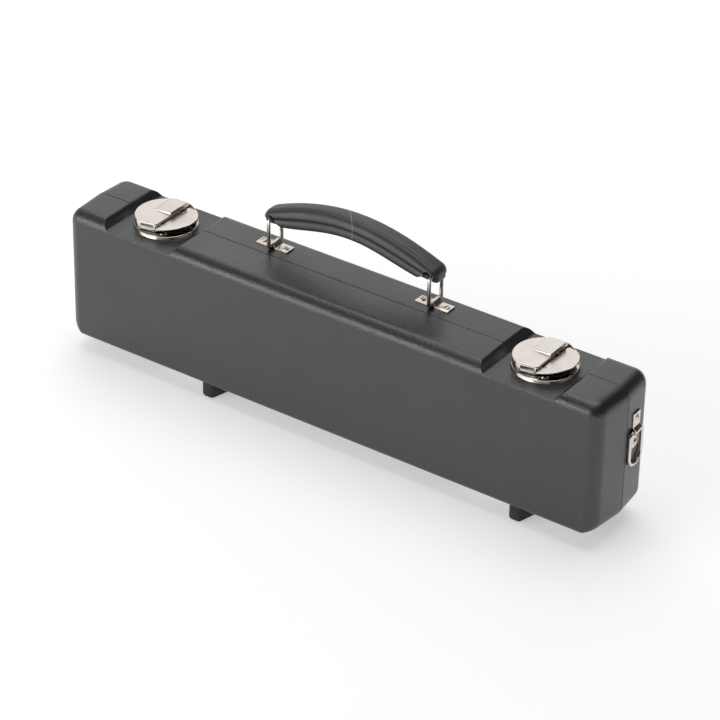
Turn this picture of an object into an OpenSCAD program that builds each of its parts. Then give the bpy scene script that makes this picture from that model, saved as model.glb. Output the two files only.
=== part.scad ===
// Moulded instrument case for a three-piece flute, standing on its hinge edge.
// Two shells meet at a seam plane and swing on two hinges along the bottom.
// The top edge carries two turn latches in recesses and a folding handle.
// Lengths are millimetres. X runs along the case, Y from the lid to the back, Z up.

/* [Case] */
// Length of the case at the seam
case_l = 420; // [380:1:480]
// Height from the lowest line of the seam to the flat top
case_h = 96.8; // [92:0.2:120]
// Depth of the lid, in front of the seam
lid_depth = 32; // [28:0.5:45]
// Depth of the base, behind the seam
base_depth = 29.5; // [26:0.5:45]
// Wall thickness of both shells
wall = 2.5; // [1.6:0.1:3.2]
// Draft angle of the end faces and of the bottom
draft = 3.6; // [1:0.2:6]
// Radius along the top, end and upright edges
edge_r = 9; // [6:0.5:9]
// Radius of the corners seen from the front
corner_r = 9.5; // [9.5:0.5:12]
// Radius along the bottom edges
low_edge_r = 3; // [1:0.5:5]
// Height of the tongue round the rim of the base
tongue_h = 3; // [1:0.5:5]
// Thickness of that tongue
tongue_t = 1.2; // [0.8:0.1:1.6]

/* [Latch recesses] */
// Distance of each latch centre from the end of the case
latch_inset = 61; // [50:1:70]
// Width of a recess at the top
recess_w = 64; // [58:1:68]
// Depth of a recess
recess_d = 5.8; // [3:0.2:7]
// Width of the sloped wall on each side of a recess
recess_run = 7; // [3:0.5:9]

/* [Latch] */
// Radius of the turning disc
disc_r = 21.2; // [18:0.2:22]
// Height of the disc top over the recess floor
disc_h = 8; // [7:0.2:10]
// Thickness of the pressed sheet
disc_t = 1; // [0.6:0.1:1.4]
// Height of the rim of the two half dishes
rim_h = 2; // [1.6:0.1:2.6]
// Thickness of that rim
rim_t = 1.1; // [0.8:0.1:2]
// How much wider than the disc the dish is
rim_over = 0.8; // [0.3:0.1:1.5]
// Thickness of the dish floor
dish_t = 0.8; // [0.6:0.1:1]
// Radius of the pivot that the disc turns on
pivot_r = 2; // [1.5:0.1:2.6]
// Distance from the disc centre to the flap pin
flap_x = 6; // [5:0.5:8]
// How far the flap lies below the top of the disc
flap_drop = 1.6; // [1.2:0.1:2]
// Radius of the flap pin
flap_pin_r = 0.7; // [0.5:0.05:0.9]
// Radius of the barrel round the flap pin
barrel_r = 1.5; // [1.3:0.1:1.6]
// Distance from the disc centre to its flat front wall
chord_y = 15.6; // [14:0.2:17]
// Height of the finger ridge on the disc
ridge_r = 0.7; // [0.4:0.1:1]
// Thickness of the turning hook
hook_t = 1.2; // [0.8:0.1:1.4]

/* [Handle] */
// Distance of the handle from the middle of the case, along X
handle_x = -5; // [-12:0.5:12]
// Distance of the handle behind the seam
handle_y = 12; // [10:0.5:14]
// Radius of the bail wire
bail_r = 1.3; // [1:0.1:1.5]
// Height of a bail between its two bars
bail_h = 22; // [20:0.5:26]
// Width of a bail between its two legs
bail_w = 14.4; // [13:0.2:16]
// Length of the grip
grip_l = 136; // [124:1:150]
// Distance of each bail bar from the end of the grip
bar_inset = 5; // [4.6:0.2:7]
// Width of the grip
grip_w = 17; // [15:0.5:22]
// Height of the grip at its middle
grip_h = 14.8; // [12:0.2:18]
// How far the top of the grip falls from its middle to its ends
grip_fall = 16.6; // [12:0.2:20]
// How far the underside of the grip rises to its middle
grip_arch = 10.6; // [6:0.2:14]
// Distance from the underside of an end up to the bail bar
grip_bar_h = 5; // [4:0.2:6]

/* [Saddles and strap rings] */
// Length of a saddle
saddle_l = 25; // [22:0.5:30]
// Width of a saddle
saddle_w = 9; // [7:0.5:10]
// Thickness of the saddle sheet
saddle_t = 1; // [0.8:0.1:1.2]
// Distance between the two screws of a saddle
saddle_screw_span = 18.4; // [16:0.2:22]
// Radius of the screw heads
screw_head_r = 2.1; // [1.6:0.1:2.6]
// Height of the screw heads
screw_head_h = 1; // [0.6:0.1:1.4]
// Radius of the screw shanks
screw_r = 1.1; // [0.8:0.05:1.4]
// Height of the strap saddles above the seam bottom
strap_z = 62; // [50:1:70]
// Distance of the strap saddles behind the seam
strap_y = 11; // [9:0.5:14]
// Radius of the strap ring wire
ring_r = 1.1; // [0.8:0.1:1.3]
// Width of a strap ring between its sides
ring_w = 16; // [14:0.5:20]
// Length of a strap ring from its bar to its far end
ring_h = 25; // [20:0.5:32]

/* [Hinges and feet] */
// Distance of each hinge from the end of the case
hinge_inset = 90; // [70:1:95]
// Length of a hinge
hinge_l = 30; // [24:1:40]
// Width of a hinge leaf
leaf_w = 16; // [12:0.5:22]
// Thickness of a hinge leaf
leaf_t = 1; // [0.8:0.1:1.2]
// Radius of a hinge knuckle
knuckle_r = 2.4; // [2:0.1:2.8]
// Radius of a hinge pin
hinge_pin_r = 1.1; // [0.8:0.05:1.3]
// Distance of the left feet from the left end of the case
foot_left_inset = 119; // [112:1:150]
// Distance of the right feet from the right end of the case
foot_right_inset = 58; // [40:1:62]
// Width of a foot
foot_w = 7; // [5:0.5:12]
// Length of a foot, across the case
foot_l = 17; // [12:0.5:18]
// Height of a foot below the lowest line of the seam
foot_h = 9.8; // [7:0.2:12]

/* [Interior] */
// Length of the recess for the flute body
body_l = 356; // [350:1:362]
// Width of the recess for the flute body
body_w = 33; // [28:0.5:34]
// Length of the recess for the head joint
head_l = 226; // [215:1:228]
// Width of the recess for the head joint
head_w = 28; // [24:0.5:31]
// Length of the recess for the foot joint
tail_l = 138; // [130:1:140]
// Width of the recess for the foot joint
tail_w = 31; // [26:0.5:32]
// Depth of the three recesses
nest_d = 21; // [17:0.5:22]
// Radius at the bottom of the three recesses
nest_r = 9; // [6:0.5:11]
// Width of the rib between the two rows
rib_w = 6; // [4:0.5:8]
// Radius of the finger scoops
scoop_r = 13; // [8:0.5:15]
// Thickness of the lid lining
lining_t = 11; // [6:0.5:14]

/* [Hidden] */

// Overrun of every cut past the face that it opens
over = 1;
// Gap between a soft piece and the wall that holds it
soft_gap = 0.3;
// Gap between pieces that pass each other
pass_gap = 0.3;
// Radial clearance of a shaft in its hole
run_gap = 0.06;
// Radial clearance of a screw, rivet or peg in its hole
hole_gap = 0.04;
// Gap between the two half dishes at the seam, on each side of it
seam_gap = 0.15;
// Smallest radius that a rounded edge may shrink to
least_r = 0.2;
// Steps in each rounded edge and in each rounded corner
edge_steps = 6;
corner_steps = 7;
// Steps in each sloped wall of a recess
slope_steps = 10;
// Facets of round pieces
round_fn = 48;

// Colours as the photograph shows them
shell_tone = [0.17, 0.17, 0.18];
metal_tone = [0.80, 0.81, 0.83];
grip_tone = [0.10, 0.10, 0.11];
plush_tone = [0.18, 0.19, 0.24];
foot_tone = [0.08, 0.08, 0.08];

// The frame of the part stands at the middle of its base, between front and back
seam_y = (lid_depth - base_depth)/2;
case_base_z = foot_h;
latch_x = case_l/2 - latch_inset;
hinge_x = case_l/2 - hinge_inset;
foot_left_x = foot_left_inset - case_l/2;
foot_right_x = case_l/2 - foot_right_inset;
saddle_span = grip_l - 2*bar_inset;
floor_z = case_h - recess_d;
slope = tan(draft);

// Moves a piece from the frame of the seam to the frame of the part
module placed() {
    translate([0, seam_y, case_base_z]) children();
}

// Draws the children at the left and at the right latch
module at_latch(side) {
    translate([side*latch_x, 0, floor_z]) children();
}

// How far a rounded edge of radius r falls back at distance d from its end face
function fall(r, d) = d >= r ? 0 : r - sqrt(r*r - (r - d)*(r - d));

function rounded(r, inset) = max(r - inset, least_r);

// One ring of points round the case, at distance t from the seam
function case_ring(t, depth, inset) =
    let (
        left = depth - inset - t,
        edge_fall = fall(rounded(edge_r, inset), left),
        low_fall = fall(rounded(low_edge_r, inset), left),
        centre_x = case_l/2 - t*slope - corner_r,
        top_z = case_h - corner_r,
        low_z = max(t, 0)*slope + corner_r,
        rx = max(corner_r - inset - edge_fall, least_r),
        rt = max(corner_r - inset - edge_fall, least_r),
        rb = max(corner_r - inset - low_fall, least_r)
    )
    [for (k = [0:3])
        for (i = [0:corner_steps])
            let (
                a = 90*(k + i/corner_steps),
                sx = (k == 0 || k == 3) ? 1 : -1,
                top = k < 2
            )
            [sx*centre_x + rx*cos(a), t, (top ? top_z : low_z) + (top ? rt : rb)*sin(a)]];

// The rings of one half of the case, from the seam to its outer face
function case_rings(start, depth, inset) =
    let (r = rounded(edge_r, inset), far = depth - inset)
    concat(
        [case_ring(start, depth, inset)],
        [for (i = [0:edge_steps]) case_ring(far - r + r*sin(90*i/edge_steps), depth, inset)]
    );

// Solid through a list of rings that all have the same number of points
module loft(rings) {
    n = len(rings[0]);
    m = len(rings);
    polyhedron(
        points = [for (ring = rings) for (p = ring) p],
        faces = concat(
            [[for (j = [n - 1:-1:0]) j]],
            [for (i = [0:m - 2]) for (j = [0:n - 1])
                [i*n + j, i*n + (j + 1)%n, (i + 1)*n + (j + 1)%n]],
            [for (i = [0:m - 2]) for (j = [0:n - 1])
                [i*n + j, (i + 1)*n + (j + 1)%n, (i + 1)*n + j]],
            [[for (j = [0:n - 1]) (m - 1)*n + j]]
        ),
        convexity = 4
    );
}

// Outline of one recess seen from the front, grown by a margin
function recess_points(margin) =
    let (
        half = recess_w/2 + margin,
        low = floor_z - margin,
        rise = recess_d
    )
    concat(
        [for (i = [0:slope_steps])
            [-half + recess_run*i/slope_steps, low + rise*(1 + cos(180*i/slope_steps))/2]],
        [for (i = [slope_steps:-1:0])
            [half - recess_run*i/slope_steps, low + rise*(1 + cos(180*i/slope_steps))/2]],
        [[half, case_h + over + margin], [-half, case_h + over + margin]]
    );

module recesses(margin) {
    reach = lid_depth + base_depth;
    for (side = [-1, 1])
        translate([side*latch_x, reach, 0])
            rotate([90, 0, 0])
                linear_extrude(2*reach)
                    polygon(recess_points(margin));
}

// Half of the case as a thin shell, from the seam along +Y
module half_shell(depth) {
    difference() {
        loft(case_rings(0, depth, 0));
        recesses(0);
        difference() {
            loft(case_rings(-over, depth, wall));
            recesses(wall);
        }
    }
}

// Solid that fills the shell from distance start, with a gap all round
module half_filling(start, depth, gap) {
    difference() {
        loft(case_rings(start, depth, wall + gap));
        recesses(wall + gap);
    }
}

// Straight rod along Y, centred on the origin
module rod_y(r, length) {
    rotate([90, 0, 0]) cylinder(r = r, h = length, center = true, $fn = round_fn);
}

// Straight rod along X, centred on the origin
module rod_x(r, length) {
    rotate([0, 90, 0]) cylinder(r = r, h = length, center = true, $fn = round_fn);
}

// Pin, screw or rivet hole downwards from the origin
module hole_down(r, depth) {
    translate([0, 0, -depth - over]) cylinder(r = r + hole_gap, h = depth + 2*over, $fn = round_fn);
}

// Screw or rivet with its head on the plane z = 0
module fastener(head_r, head_h, shank_r, depth) {
    cylinder(r1 = head_r, r2 = head_r*dome_share, h = head_h, $fn = round_fn);
    translate([0, 0, -depth]) cylinder(r = shank_r, h = depth, $fn = round_fn);
}
dome_share = 0.72;

// Feet

foot_chamfer = 1.4;
peg_r = 2;
foot_set_back = 2;

function bottom_z(y) = y*slope;

// Foot seated on the drafted bottom, on the +Y side of the seam
module foot(depth) {
    y1 = depth - foot_set_back;
    y0 = y1 - foot_l;
    c = foot_chamfer;
    intersection() {
        translate([-foot_w/2, 0, 0])
            rotate([90, 0, 90])
                linear_extrude(foot_w)
                    polygon([[y0, bottom_z(y0)], [y0, -foot_h + c], [y0 + c, -foot_h],
                        [y1 - c, -foot_h], [y1, -foot_h + c], [y1, bottom_z(y1)]]);
        translate([0, depth, 0])
            rotate([90, 0, 0])
                linear_extrude(depth)
                    polygon([[-foot_w/2, corner_r], [-foot_w/2, -foot_h + c],
                        [-foot_w/2 + c, -foot_h], [foot_w/2 - c, -foot_h],
                        [foot_w/2, -foot_h + c], [foot_w/2, corner_r]]);
    }
    translate([0, peg_y(depth), -peg_r]) cylinder(r = peg_r, h = peg_top(depth) + peg_r, $fn = round_fn);
}

function peg_y(depth) = depth - foot_set_back - foot_l/2;
function peg_top(depth) = bottom_z(peg_y(depth)) + wall;

module foot_pairs(depth) {
    for (x = [foot_left_x, foot_right_x])
        translate([x, 0, 0]) foot(depth);
}

module peg_holes(depth) {
    for (x = [foot_left_x, foot_right_x])
        translate([x, peg_y(depth), peg_top(depth)])
            hole_down(peg_r, 2*wall);
}

// Hinges

rivet_head_r = 2;
rivet_head_h = 0.6;
rivet_r = 1.1;
knuckle_share = 0.34;
rivet_span_share = 0.55;
rivet_y_share = 0.6;
knuckle_lift = 0.15;
hinge_z = -knuckle_r - knuckle_lift;
mid_l = hinge_l*knuckle_share;
side_l = (hinge_l - mid_l)/2 - pass_gap;

// Puts rivets on the underside of a leaf, on the +Y side of the seam
module leaf_rivet_places() {
    for (s = [-1, 1])
        rotate([draft, 0, 0])
            translate([s*hinge_l*rivet_span_share/2, leaf_w*rivet_y_share, -leaf_t])
                rotate([180, 0, 0]) children();
}

module hinge_rivets() {
    for (side = [-1, 1])
        translate([side*hinge_x, 0, 0])
            leaf_rivet_places() fastener(rivet_head_r, rivet_head_h, rivet_r, leaf_t + wall);
}

module hinge_rivet_holes() {
    for (side = [-1, 1])
        translate([side*hinge_x, 0, 0])
            leaf_rivet_places() hole_down(rivet_r, leaf_t + 2*wall);
}

// Flat part of a leaf with its notches, from an outline
module leaf_plate(outline) {
    rotate([draft, 0, 0])
        translate([0, 0, -leaf_t]) linear_extrude(leaf_t) polygon(outline);
}

// Distance from the seam at which a leaf clears the knuckles of the other
clear_y = knuckle_r + 2*pass_gap;
// Distance from the seam at which a leaf runs into its own knuckles
root_share = 0.3;
root_y = knuckle_r*root_share;

// Leaf with the two outer knuckles, on the +Y side
module outer_leaf() {
    e = hinge_l/2;
    k = e - side_l;
    difference() {
        union() {
            leaf_plate([[-e, leaf_w], [-e, root_y], [-k, root_y], [-k, clear_y],
                [k, clear_y], [k, root_y], [e, root_y], [e, leaf_w]]);
            for (s = [-1, 1])
                translate([s*(e + k)/2, 0, hinge_z]) rod_x(knuckle_r, side_l - seam_gap);
        }
        translate([0, 0, hinge_z]) rod_x(hinge_pin_r + hole_gap, hinge_l + 2*over);
        leaf_rivet_places() hole_down(rivet_r, leaf_t);
    }
}

// Leaf with the middle knuckle, on the +Y side
module middle_leaf() {
    e = hinge_l/2;
    k = mid_l/2;
    difference() {
        union() {
            leaf_plate([[-e, leaf_w], [-e, clear_y], [-k, clear_y], [-k, root_y],
                [k, root_y], [k, clear_y], [e, clear_y], [e, leaf_w]]);
            translate([0, 0, hinge_z]) rod_x(knuckle_r, mid_l - seam_gap);
        }
        translate([0, 0, hinge_z]) rod_x(hinge_pin_r + run_gap, hinge_l + 2*over);
        leaf_rivet_places() hole_down(rivet_r, leaf_t);
    }
}

// Saddles, bails and rings

axis_lift = 0.2;

// Height of a saddle's wire axis over the face that it is screwed to
function axis_h(wire_r) = wire_r + axis_lift;

// Rounded plate centred on the origin, standing on z = 0
module round_plate(l, w, r, t) {
    translate([-l/2 + r, -w/2, 0]) cube([l - 2*r, w, t]);
    translate([-l/2, -w/2 + r, 0]) cube([l, w - 2*r, t]);
    for (sx = [-1, 1])
        for (sy = [-1, 1])
            translate([sx*(l/2 - r), sy*(w/2 - r), 0]) cylinder(r = r, h = t, $fn = round_fn);
}
saddle_corner_share = 0.25;

module saddle_screw_places() {
    for (s = [-1, 1])
        translate([s*saddle_screw_span/2, 0, saddle_t]) children();
}

// Pressed strap with a hump along Y that holds a wire
module saddle(wire_r) {
    bore = wire_r + run_gap;
    difference() {
        union() {
            round_plate(saddle_l, saddle_w, saddle_w*saddle_corner_share, saddle_t);
            intersection() {
                translate([0, 0, axis_h(wire_r)]) rod_y(bore + saddle_t, saddle_w);
                translate([-saddle_l/2, -saddle_w/2, 0])
                    cube([saddle_l, saddle_w, axis_h(wire_r) + bore + 2*saddle_t]);
            }
        }
        translate([0, 0, axis_h(wire_r)]) rod_y(bore, saddle_w + 2*over);
        translate([-bore, -saddle_w/2 - over, -over])
            cube([2*bore, saddle_w + 2*over, axis_h(wire_r) + over]);
        saddle_screw_places() hole_down(screw_r, saddle_t);
    }
}

module saddle_screws() {
    saddle_screw_places() fastener(screw_head_r, screw_head_h, screw_r, saddle_t + wall);
}

module saddle_holes() {
    saddle_screw_places() hole_down(screw_r, saddle_t + 2*wall);
}

// Quarter bend of a wire, from the +X side to the +Y side of its centre
module bend(r, wire_r) {
    rotate_extrude(angle = 90, $fn = round_fn)
        translate([r, 0]) circle(r = wire_r, $fn = round_fn);
}

// Closed wire loop in the YZ plane, with its lower bar on the Y axis
module wire_loop(w, h, low_r, top_r, wire_r) {
    rotate([90, 0, 90]) {
        rotate([0, 90, 0]) cylinder(r = wire_r, h = w - 2*low_r, center = true, $fn = round_fn);
        translate([0, h, 0])
            rotate([0, 90, 0]) cylinder(r = wire_r, h = w - 2*top_r, center = true, $fn = round_fn);
        for (s = [-1, 1])
            translate([s*w/2, low_r, 0])
                rotate([-90, 0, 0]) cylinder(r = wire_r, h = h - low_r - top_r, $fn = round_fn);
        translate([w/2 - low_r, low_r, 0]) rotate([0, 0, -90]) bend(low_r, wire_r);
        translate([-w/2 + low_r, low_r, 0]) rotate([0, 0, 180]) bend(low_r, wire_r);
        translate([w/2 - top_r, h - top_r, 0]) bend(top_r, wire_r);
        translate([-w/2 + top_r, h - top_r, 0]) rotate([0, 0, 90]) bend(top_r, wire_r);
    }
}

bend_r_share = 0.14;
bail_bend = bail_w*bend_r_share;
bail_axis_z = case_h + axis_h(bail_r);
bar_z = bail_axis_z + bail_h;
bar_x = saddle_span/2;
grip_low_z = bar_z - grip_bar_h;

// Moves to the foot of the handle on the left or right side
module at_saddle(side) {
    translate([handle_x + side*saddle_span/2, handle_y, case_h]) children();
}

module bail(side) {
    at_saddle(side)
        translate([0, 0, axis_h(bail_r)])
            wire_loop(bail_w, bail_h, bail_bend, bail_bend, bail_r);
}

// Moves to the strap saddle on the left or right end, with Z away from the case
module at_strap(side) {
    mirror([side < 0 ? 1 : 0, 0, 0])
        translate([case_l/2, 0, strap_z])
            rotate([0, 0, draft])
                translate([0, strap_y, 0])
                    rotate([0, 90, 0]) children();
}

module strap_ring(side) {
    at_strap(side)
        translate([0, 0, axis_h(ring_r)])
            rotate([0, 90, 0])
                wire_loop(ring_w, ring_h, ring_w*ring_top_share, ring_w*ring_low_share, ring_r);
}
ring_top_share = 0.2;
ring_low_share = 0.45;

// Grip

grip_steps = 26;
grip_round = 5;
// Outline of the grip across its length: half width and height shares, from the
// underside up one flank, over a shoulder and a groove to the raised spine
grip_half_shares = [[0.4, 0], [0.74, 0.015], [0.92, 0.07], [0.985, 0.2], [1, 0.34], [0.98, 0.48],
    [0.92, 0.61], [0.76, 0.71], [0.6, 0.7], [0.5, 0.77], [0.4, 0.92], [0.22, 0.985]];

function grip_low(x) = grip_low_z + grip_arch*(1 + cos(180*x/(grip_l/2)))/2;
function grip_top(x) = grip_low_z + grip_arch + grip_h - grip_fall*pow(x/(grip_l/2), 2);

// Points of the full outline, as [share of half width, share of height]
function grip_shares() =
    concat(
        grip_half_shares,
        [[0, 1]],
        [for (i = [len(grip_half_shares) - 1:-1:0]) [-grip_half_shares[i][0], grip_half_shares[i][1]]]
    );

function grip_ring(x) =
    let (
        left = grip_l/2 - abs(x),
        pull = fall(grip_round, left),
        h = grip_top(x) - grip_low(x) - pull,
        low = grip_low(x) + pull/2,
        half = grip_w/2 - pull/2
    )
    [for (p = grip_shares()) [x, -half*p[0], low + h*p[1]]];

function grip_place(i) = (grip_l/2)*sin(90*i/grip_steps);

module grip_body() {
    loft([for (i = [-grip_steps:2:grip_steps]) grip_ring(grip_place(i))]);
}

relief_r = 12;
relief_half = bail_w/2 - bail_bend - seam_gap;
relief_top = bail_r + 2*pass_gap;

// Cuts the bore for a bail bar and the two side pockets in which its legs swing
module bar_seat() {
    rod_y(bail_r + run_gap, grip_w + 2*over);
    for (s = [-1, 1])
        intersection() {
            translate([0, s*(relief_half + grip_w/2), 0]) rod_y(relief_r, grip_w);
            translate([-relief_r, -grip_w - relief_half, -relief_r])
                cube([2*relief_r, 2*(grip_w + relief_half), relief_r + relief_top]);
        }
}

// Latches

dish_r = disc_r + rim_over;
boss_r = 5.2;
boss_h = rim_h + 0.2*disc_t;
hook_z = boss_h + pass_gap;
cap_in_h = disc_h - disc_t;
flap_top = disc_h - flap_drop;
flap_z = flap_top - barrel_r + 0.4*disc_t;
ear_l = 2.4;
barrel_l = 3*flap_x;
flap_gap = 0.6;
hub_r = 4.4;
stud_place = [8, -14];
stud_r = 1.5;
stud_head_r = 2.6;
pivot_head_h = 0.8;
pivot_head_r = 3.2;
pivot_h = cap_in_h - pivot_head_h - pass_gap;
base_rivet_place = [12.5, 12];

// Half plane on the +Y or -Y side of the seam
module seam_side(side, r, h) {
    y0 = side > 0 ? seam_gap : -r - seam_gap - over;
    translate([-r - over, y0, -over]) cube([2*(r + over), r + over, h + 2*over]);
}

// Floor and rim of a whole dish
module whole_dish() {
    cylinder(r = dish_r, h = dish_t, $fn = round_fn);
    difference() {
        cylinder(r = dish_r, h = rim_h, $fn = round_fn);
        translate([0, 0, -over]) cylinder(r = dish_r - rim_t, h = rim_h + 2*over, $fn = round_fn);
    }
}

// Rear half dish, with the boss that reaches over the seam
module latch_base() {
    difference() {
        union() {
            intersection() {
                whole_dish();
                seam_side(1, dish_r, rim_h);
            }
            translate([0, 0, pass_gap]) cylinder(r = boss_r, h = boss_h - pass_gap, $fn = round_fn);
        }
        cylinder(r = pivot_r + hole_gap, h = 2*boss_h + over, center = true, $fn = round_fn);
        base_rivet_places() hole_down(rivet_r, dish_t);
    }
}

module base_rivet_places() {
    for (s = [-1, 1])
        translate([s*base_rivet_place[0], base_rivet_place[1], dish_t]) children();
}

// Front half dish on the lid
module latch_keeper() {
    difference() {
        intersection() {
            whole_dish();
            seam_side(-1, dish_r, rim_h);
        }
        translate([0, 0, -over]) cylinder(r = boss_r + pass_gap, h = rim_h + 2*over, $fn = round_fn);
        keeper_stud_places() hole_down(stud_r, dish_t);
    }
}

module keeper_stud_places() {
    translate([stud_place[0], stud_place[1], dish_t]) children();
    translate([-stud_place[0], stud_place[1], dish_t]) children();
}

// Pivot that the disc turns on, headed over inside the disc
module latch_pivot() {
    translate([0, 0, pass_gap]) cylinder(r = pivot_r, h = pivot_h - pass_gap, $fn = round_fn);
    translate([0, 0, pivot_h]) cylinder(r = pivot_head_r, h = pivot_head_h, $fn = round_fn);
}

// Outline of the raised part of the disc, drawn in by a margin
module cap_outline(margin) {
    r = disc_r - margin;
    intersection() {
        circle(r = r, $fn = 2*round_fn);
        translate([-disc_r - over, -chord_y + margin])
            square([disc_r + over + flap_x - flap_gap - barrel_r - margin, 2*disc_r + over]);
    }
}

// Raised part of the disc: a pressed cap with a skirt, a hub and two ears
module latch_disc() {
    skirt_low = rim_h + pass_gap;
    hub_low = hook_z + hook_t;
    difference() {
        union() {
            difference() {
                translate([0, 0, skirt_low])
                    linear_extrude(disc_h - skirt_low) cap_outline(0);
                translate([0, 0, skirt_low - over])
                    linear_extrude(cap_in_h - skirt_low + over) cap_outline(disc_t);
            }
            translate([0, 0, hub_low]) cylinder(r = hub_r, h = pivot_h - pass_gap - hub_low, $fn = round_fn);
            disc_spokes(hub_low, pivot_h - pass_gap - hub_low);
            ridge();
            for (s = [-1, 1]) ear(s);
        }
        cylinder(r = pivot_r + run_gap, h = pivot_h, $fn = round_fn);
        translate([0, 0, hook_z - pass_gap]) cylinder(r = hub_r + 2*pass_gap, h = hub_low - hook_z + pass_gap, $fn = round_fn);
        translate([0, 0, pivot_h - pass_gap])
            cylinder(r = pivot_head_r + pass_gap, h = cap_in_h - pivot_h + pass_gap, $fn = round_fn);
        translate([flap_x, 0, flap_z]) rod_y(flap_pin_r + hole_gap, 2*disc_r);
    }
}

// Flat web that joins the hub to the skirt
module disc_spokes(z, h) {
    web_w = 2*hub_r;
    translate([-disc_r + disc_t/2, -web_w/2, z]) cube([disc_r, web_w, h]);
}

// Finger ridge on the top of the disc, from the step towards the left
module ridge() {
    reach = disc_r*ridge_share;
    x1 = flap_x - flap_gap - barrel_r;
    translate([x1 - reach/2, 0, disc_h]) rod_x(ridge_r, reach);
}
ridge_share = 0.75;

// Ear that holds one end of the flap pin
module ear(s) {
    y = barrel_l/2 + pass_gap + ear_l/2;
    step_x = flap_x - flap_gap - barrel_r;
    translate([flap_x, s*y, flap_z]) rod_y(barrel_r, ear_l);
    translate([step_x - disc_t, s*y - ear_l/2, flap_z - barrel_r])
        cube([flap_x - step_x + disc_t, ear_l, 2*barrel_r]);
    translate([step_x - disc_t, s*y - ear_l/2, flap_z])
        cube([disc_t, ear_l, disc_h - flap_z - disc_t/2]);
}

// Half-round flap that folds up as the finger grip
module latch_flap() {
    difference() {
        union() {
            translate([flap_x, 0, flap_z]) rod_y(barrel_r, barrel_l);
            translate([0, 0, flap_top - disc_t])
                linear_extrude(disc_t)
                    difference() {
                        circle(r = disc_r, $fn = 2*round_fn);
                        translate([-disc_r - over, -disc_r - over])
                            square([disc_r + over + flap_x, 2*(disc_r + over)]);
                        for (s = [-1, 1])
                            translate([flap_x - over, s*(barrel_l/2 + pass_gap + ear_l/2) - ear_l/2 - pass_gap])
                                square([over + barrel_r + pass_gap, ear_l + 2*pass_gap]);
                    }
        }
        translate([flap_x, 0, flap_z]) rod_y(flap_pin_r + run_gap, 2*disc_r);
    }
}

module flap_pin() {
    translate([flap_x, 0, flap_z]) rod_y(flap_pin_r, barrel_l + 2*(pass_gap + ear_l));
}

hook_in_r = 10.5;
hook_out_r = 18.2;
hook_sweep = 62;
hook_start = -68;
hook_steps = 10;

// Flat hook under the disc: an arm from the hub, and a finger that passes over the studs
module latch_hook() {
    arm = hub_r/2;
    difference() {
        translate([0, 0, hook_z])
            linear_extrude(hook_t)
                union() {
                    circle(r = hub_r, $fn = round_fn);
                    rotate(hook_start + hook_sweep)
                        polygon(concat(
                            [[0, -arm], [hook_in_r*cos(arm_angle), -arm]],
                            [for (i = [0:hook_steps]) hook_point(hook_in_r, arm_angle + i/hook_steps*(hook_sweep - arm_angle))],
                            [for (i = [hook_steps:-1:0]) hook_point(hook_out_r, i/hook_steps*hook_sweep - arm_angle)],
                            [[0, arm]]
                        ));
                }
        translate([0, 0, hook_z - over]) cylinder(r = pivot_r + run_gap, h = hook_t + 2*over, $fn = round_fn);
    }
}
arm_angle = asin(hub_r/2/hook_in_r);

// Point on the hook at a radius, turned back by an angle
function hook_point(r, a) = [r*cos(a), -r*sin(a)];

// Interior

nest_top = floor_z - wall - soft_gap;
nest_low = wall + soft_gap + base_depth*slope;
row_gap = (nest_top - nest_low - body_w - rib_w - tail_w)/2;
body_z = nest_top - row_gap - body_w/2;
row_z = nest_low + row_gap + tail_w/2;
insert_face = 1;
row_l = head_l + tail_l + rib_w;
head_x = -row_l/2 + head_l/2;
tail_x = row_l/2 - tail_l/2;

// Round-bottomed trough along X, open towards the seam
module trough(l, w, d, r) {
    y0 = insert_face - over;
    translate([-l/2, y0, -w/2]) cube([l, d - r + insert_face - y0, w]);
    translate([-l/2, y0, -w/2 + r]) cube([l, d + insert_face - y0, w - 2*r]);
    for (s = [-1, 1])
        translate([0, insert_face + d - r, s*(w/2 - r)]) rod_x(r, l);
}

// Finger scoop across the rib between the two rows
module scoop(x) {
    translate([x, insert_face, row_z])
        cylinder(r = scoop_r, h = body_z - row_z, $fn = round_fn);
}

scoop_places_shares = [-0.25, 0.25];

module rear_shell() {
    color(shell_tone)
        placed()
            difference() {
                union() {
                    half_shell(base_depth);
                    tongue();
                }
                for (side = [-1, 1]) {
                    at_saddle(side) saddle_holes();
                    at_strap(side) saddle_holes();
                    at_latch(side) base_rivet_places() hole_down(rivet_r, dish_t + 2*wall);
                }
                hinge_rivet_holes();
                peg_holes(base_depth);
            }
}

// Solid bounded by the outline of the seam, drawn in by an inset, from y0 to y1
module rim_band(y0, y1, inset) {
    difference() {
        translate([0, y1, 0])
            rotate([90, 0, 0])
                linear_extrude(y1 - y0)
                    polygon([for (p = case_ring(0, base_depth, inset)) [p[0], p[2]]]);
        recesses(inset);
    }
}

// Tongue round the rim of the base, which enters the lid, and its root in the wall
module tongue() {
    outer = wall + pass_gap + tongue_h*slope;
    inner = outer + tongue_t;
    difference() {
        union() {
            rim_band(-tongue_h, tongue_h, outer);
            rim_band(0, tongue_h, wall/2);
        }
        rim_band(-tongue_h - over, tongue_h + over, inner);
    }
}

module base_insert() {
    color(plush_tone)
        placed()
            difference() {
                half_filling(insert_face, base_depth, 2*soft_gap + tongue_t + tongue_h*slope);
                translate([0, 0, body_z]) trough(body_l, body_w, nest_d, nest_r);
                translate([head_x, 0, row_z]) trough(head_l, head_w, nest_d, nest_r);
                translate([tail_x, 0, row_z]) trough(tail_l, tail_w, nest_d, nest_r);
                for (share = scoop_places_shares) scoop(share*body_l);
            }
}

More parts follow.
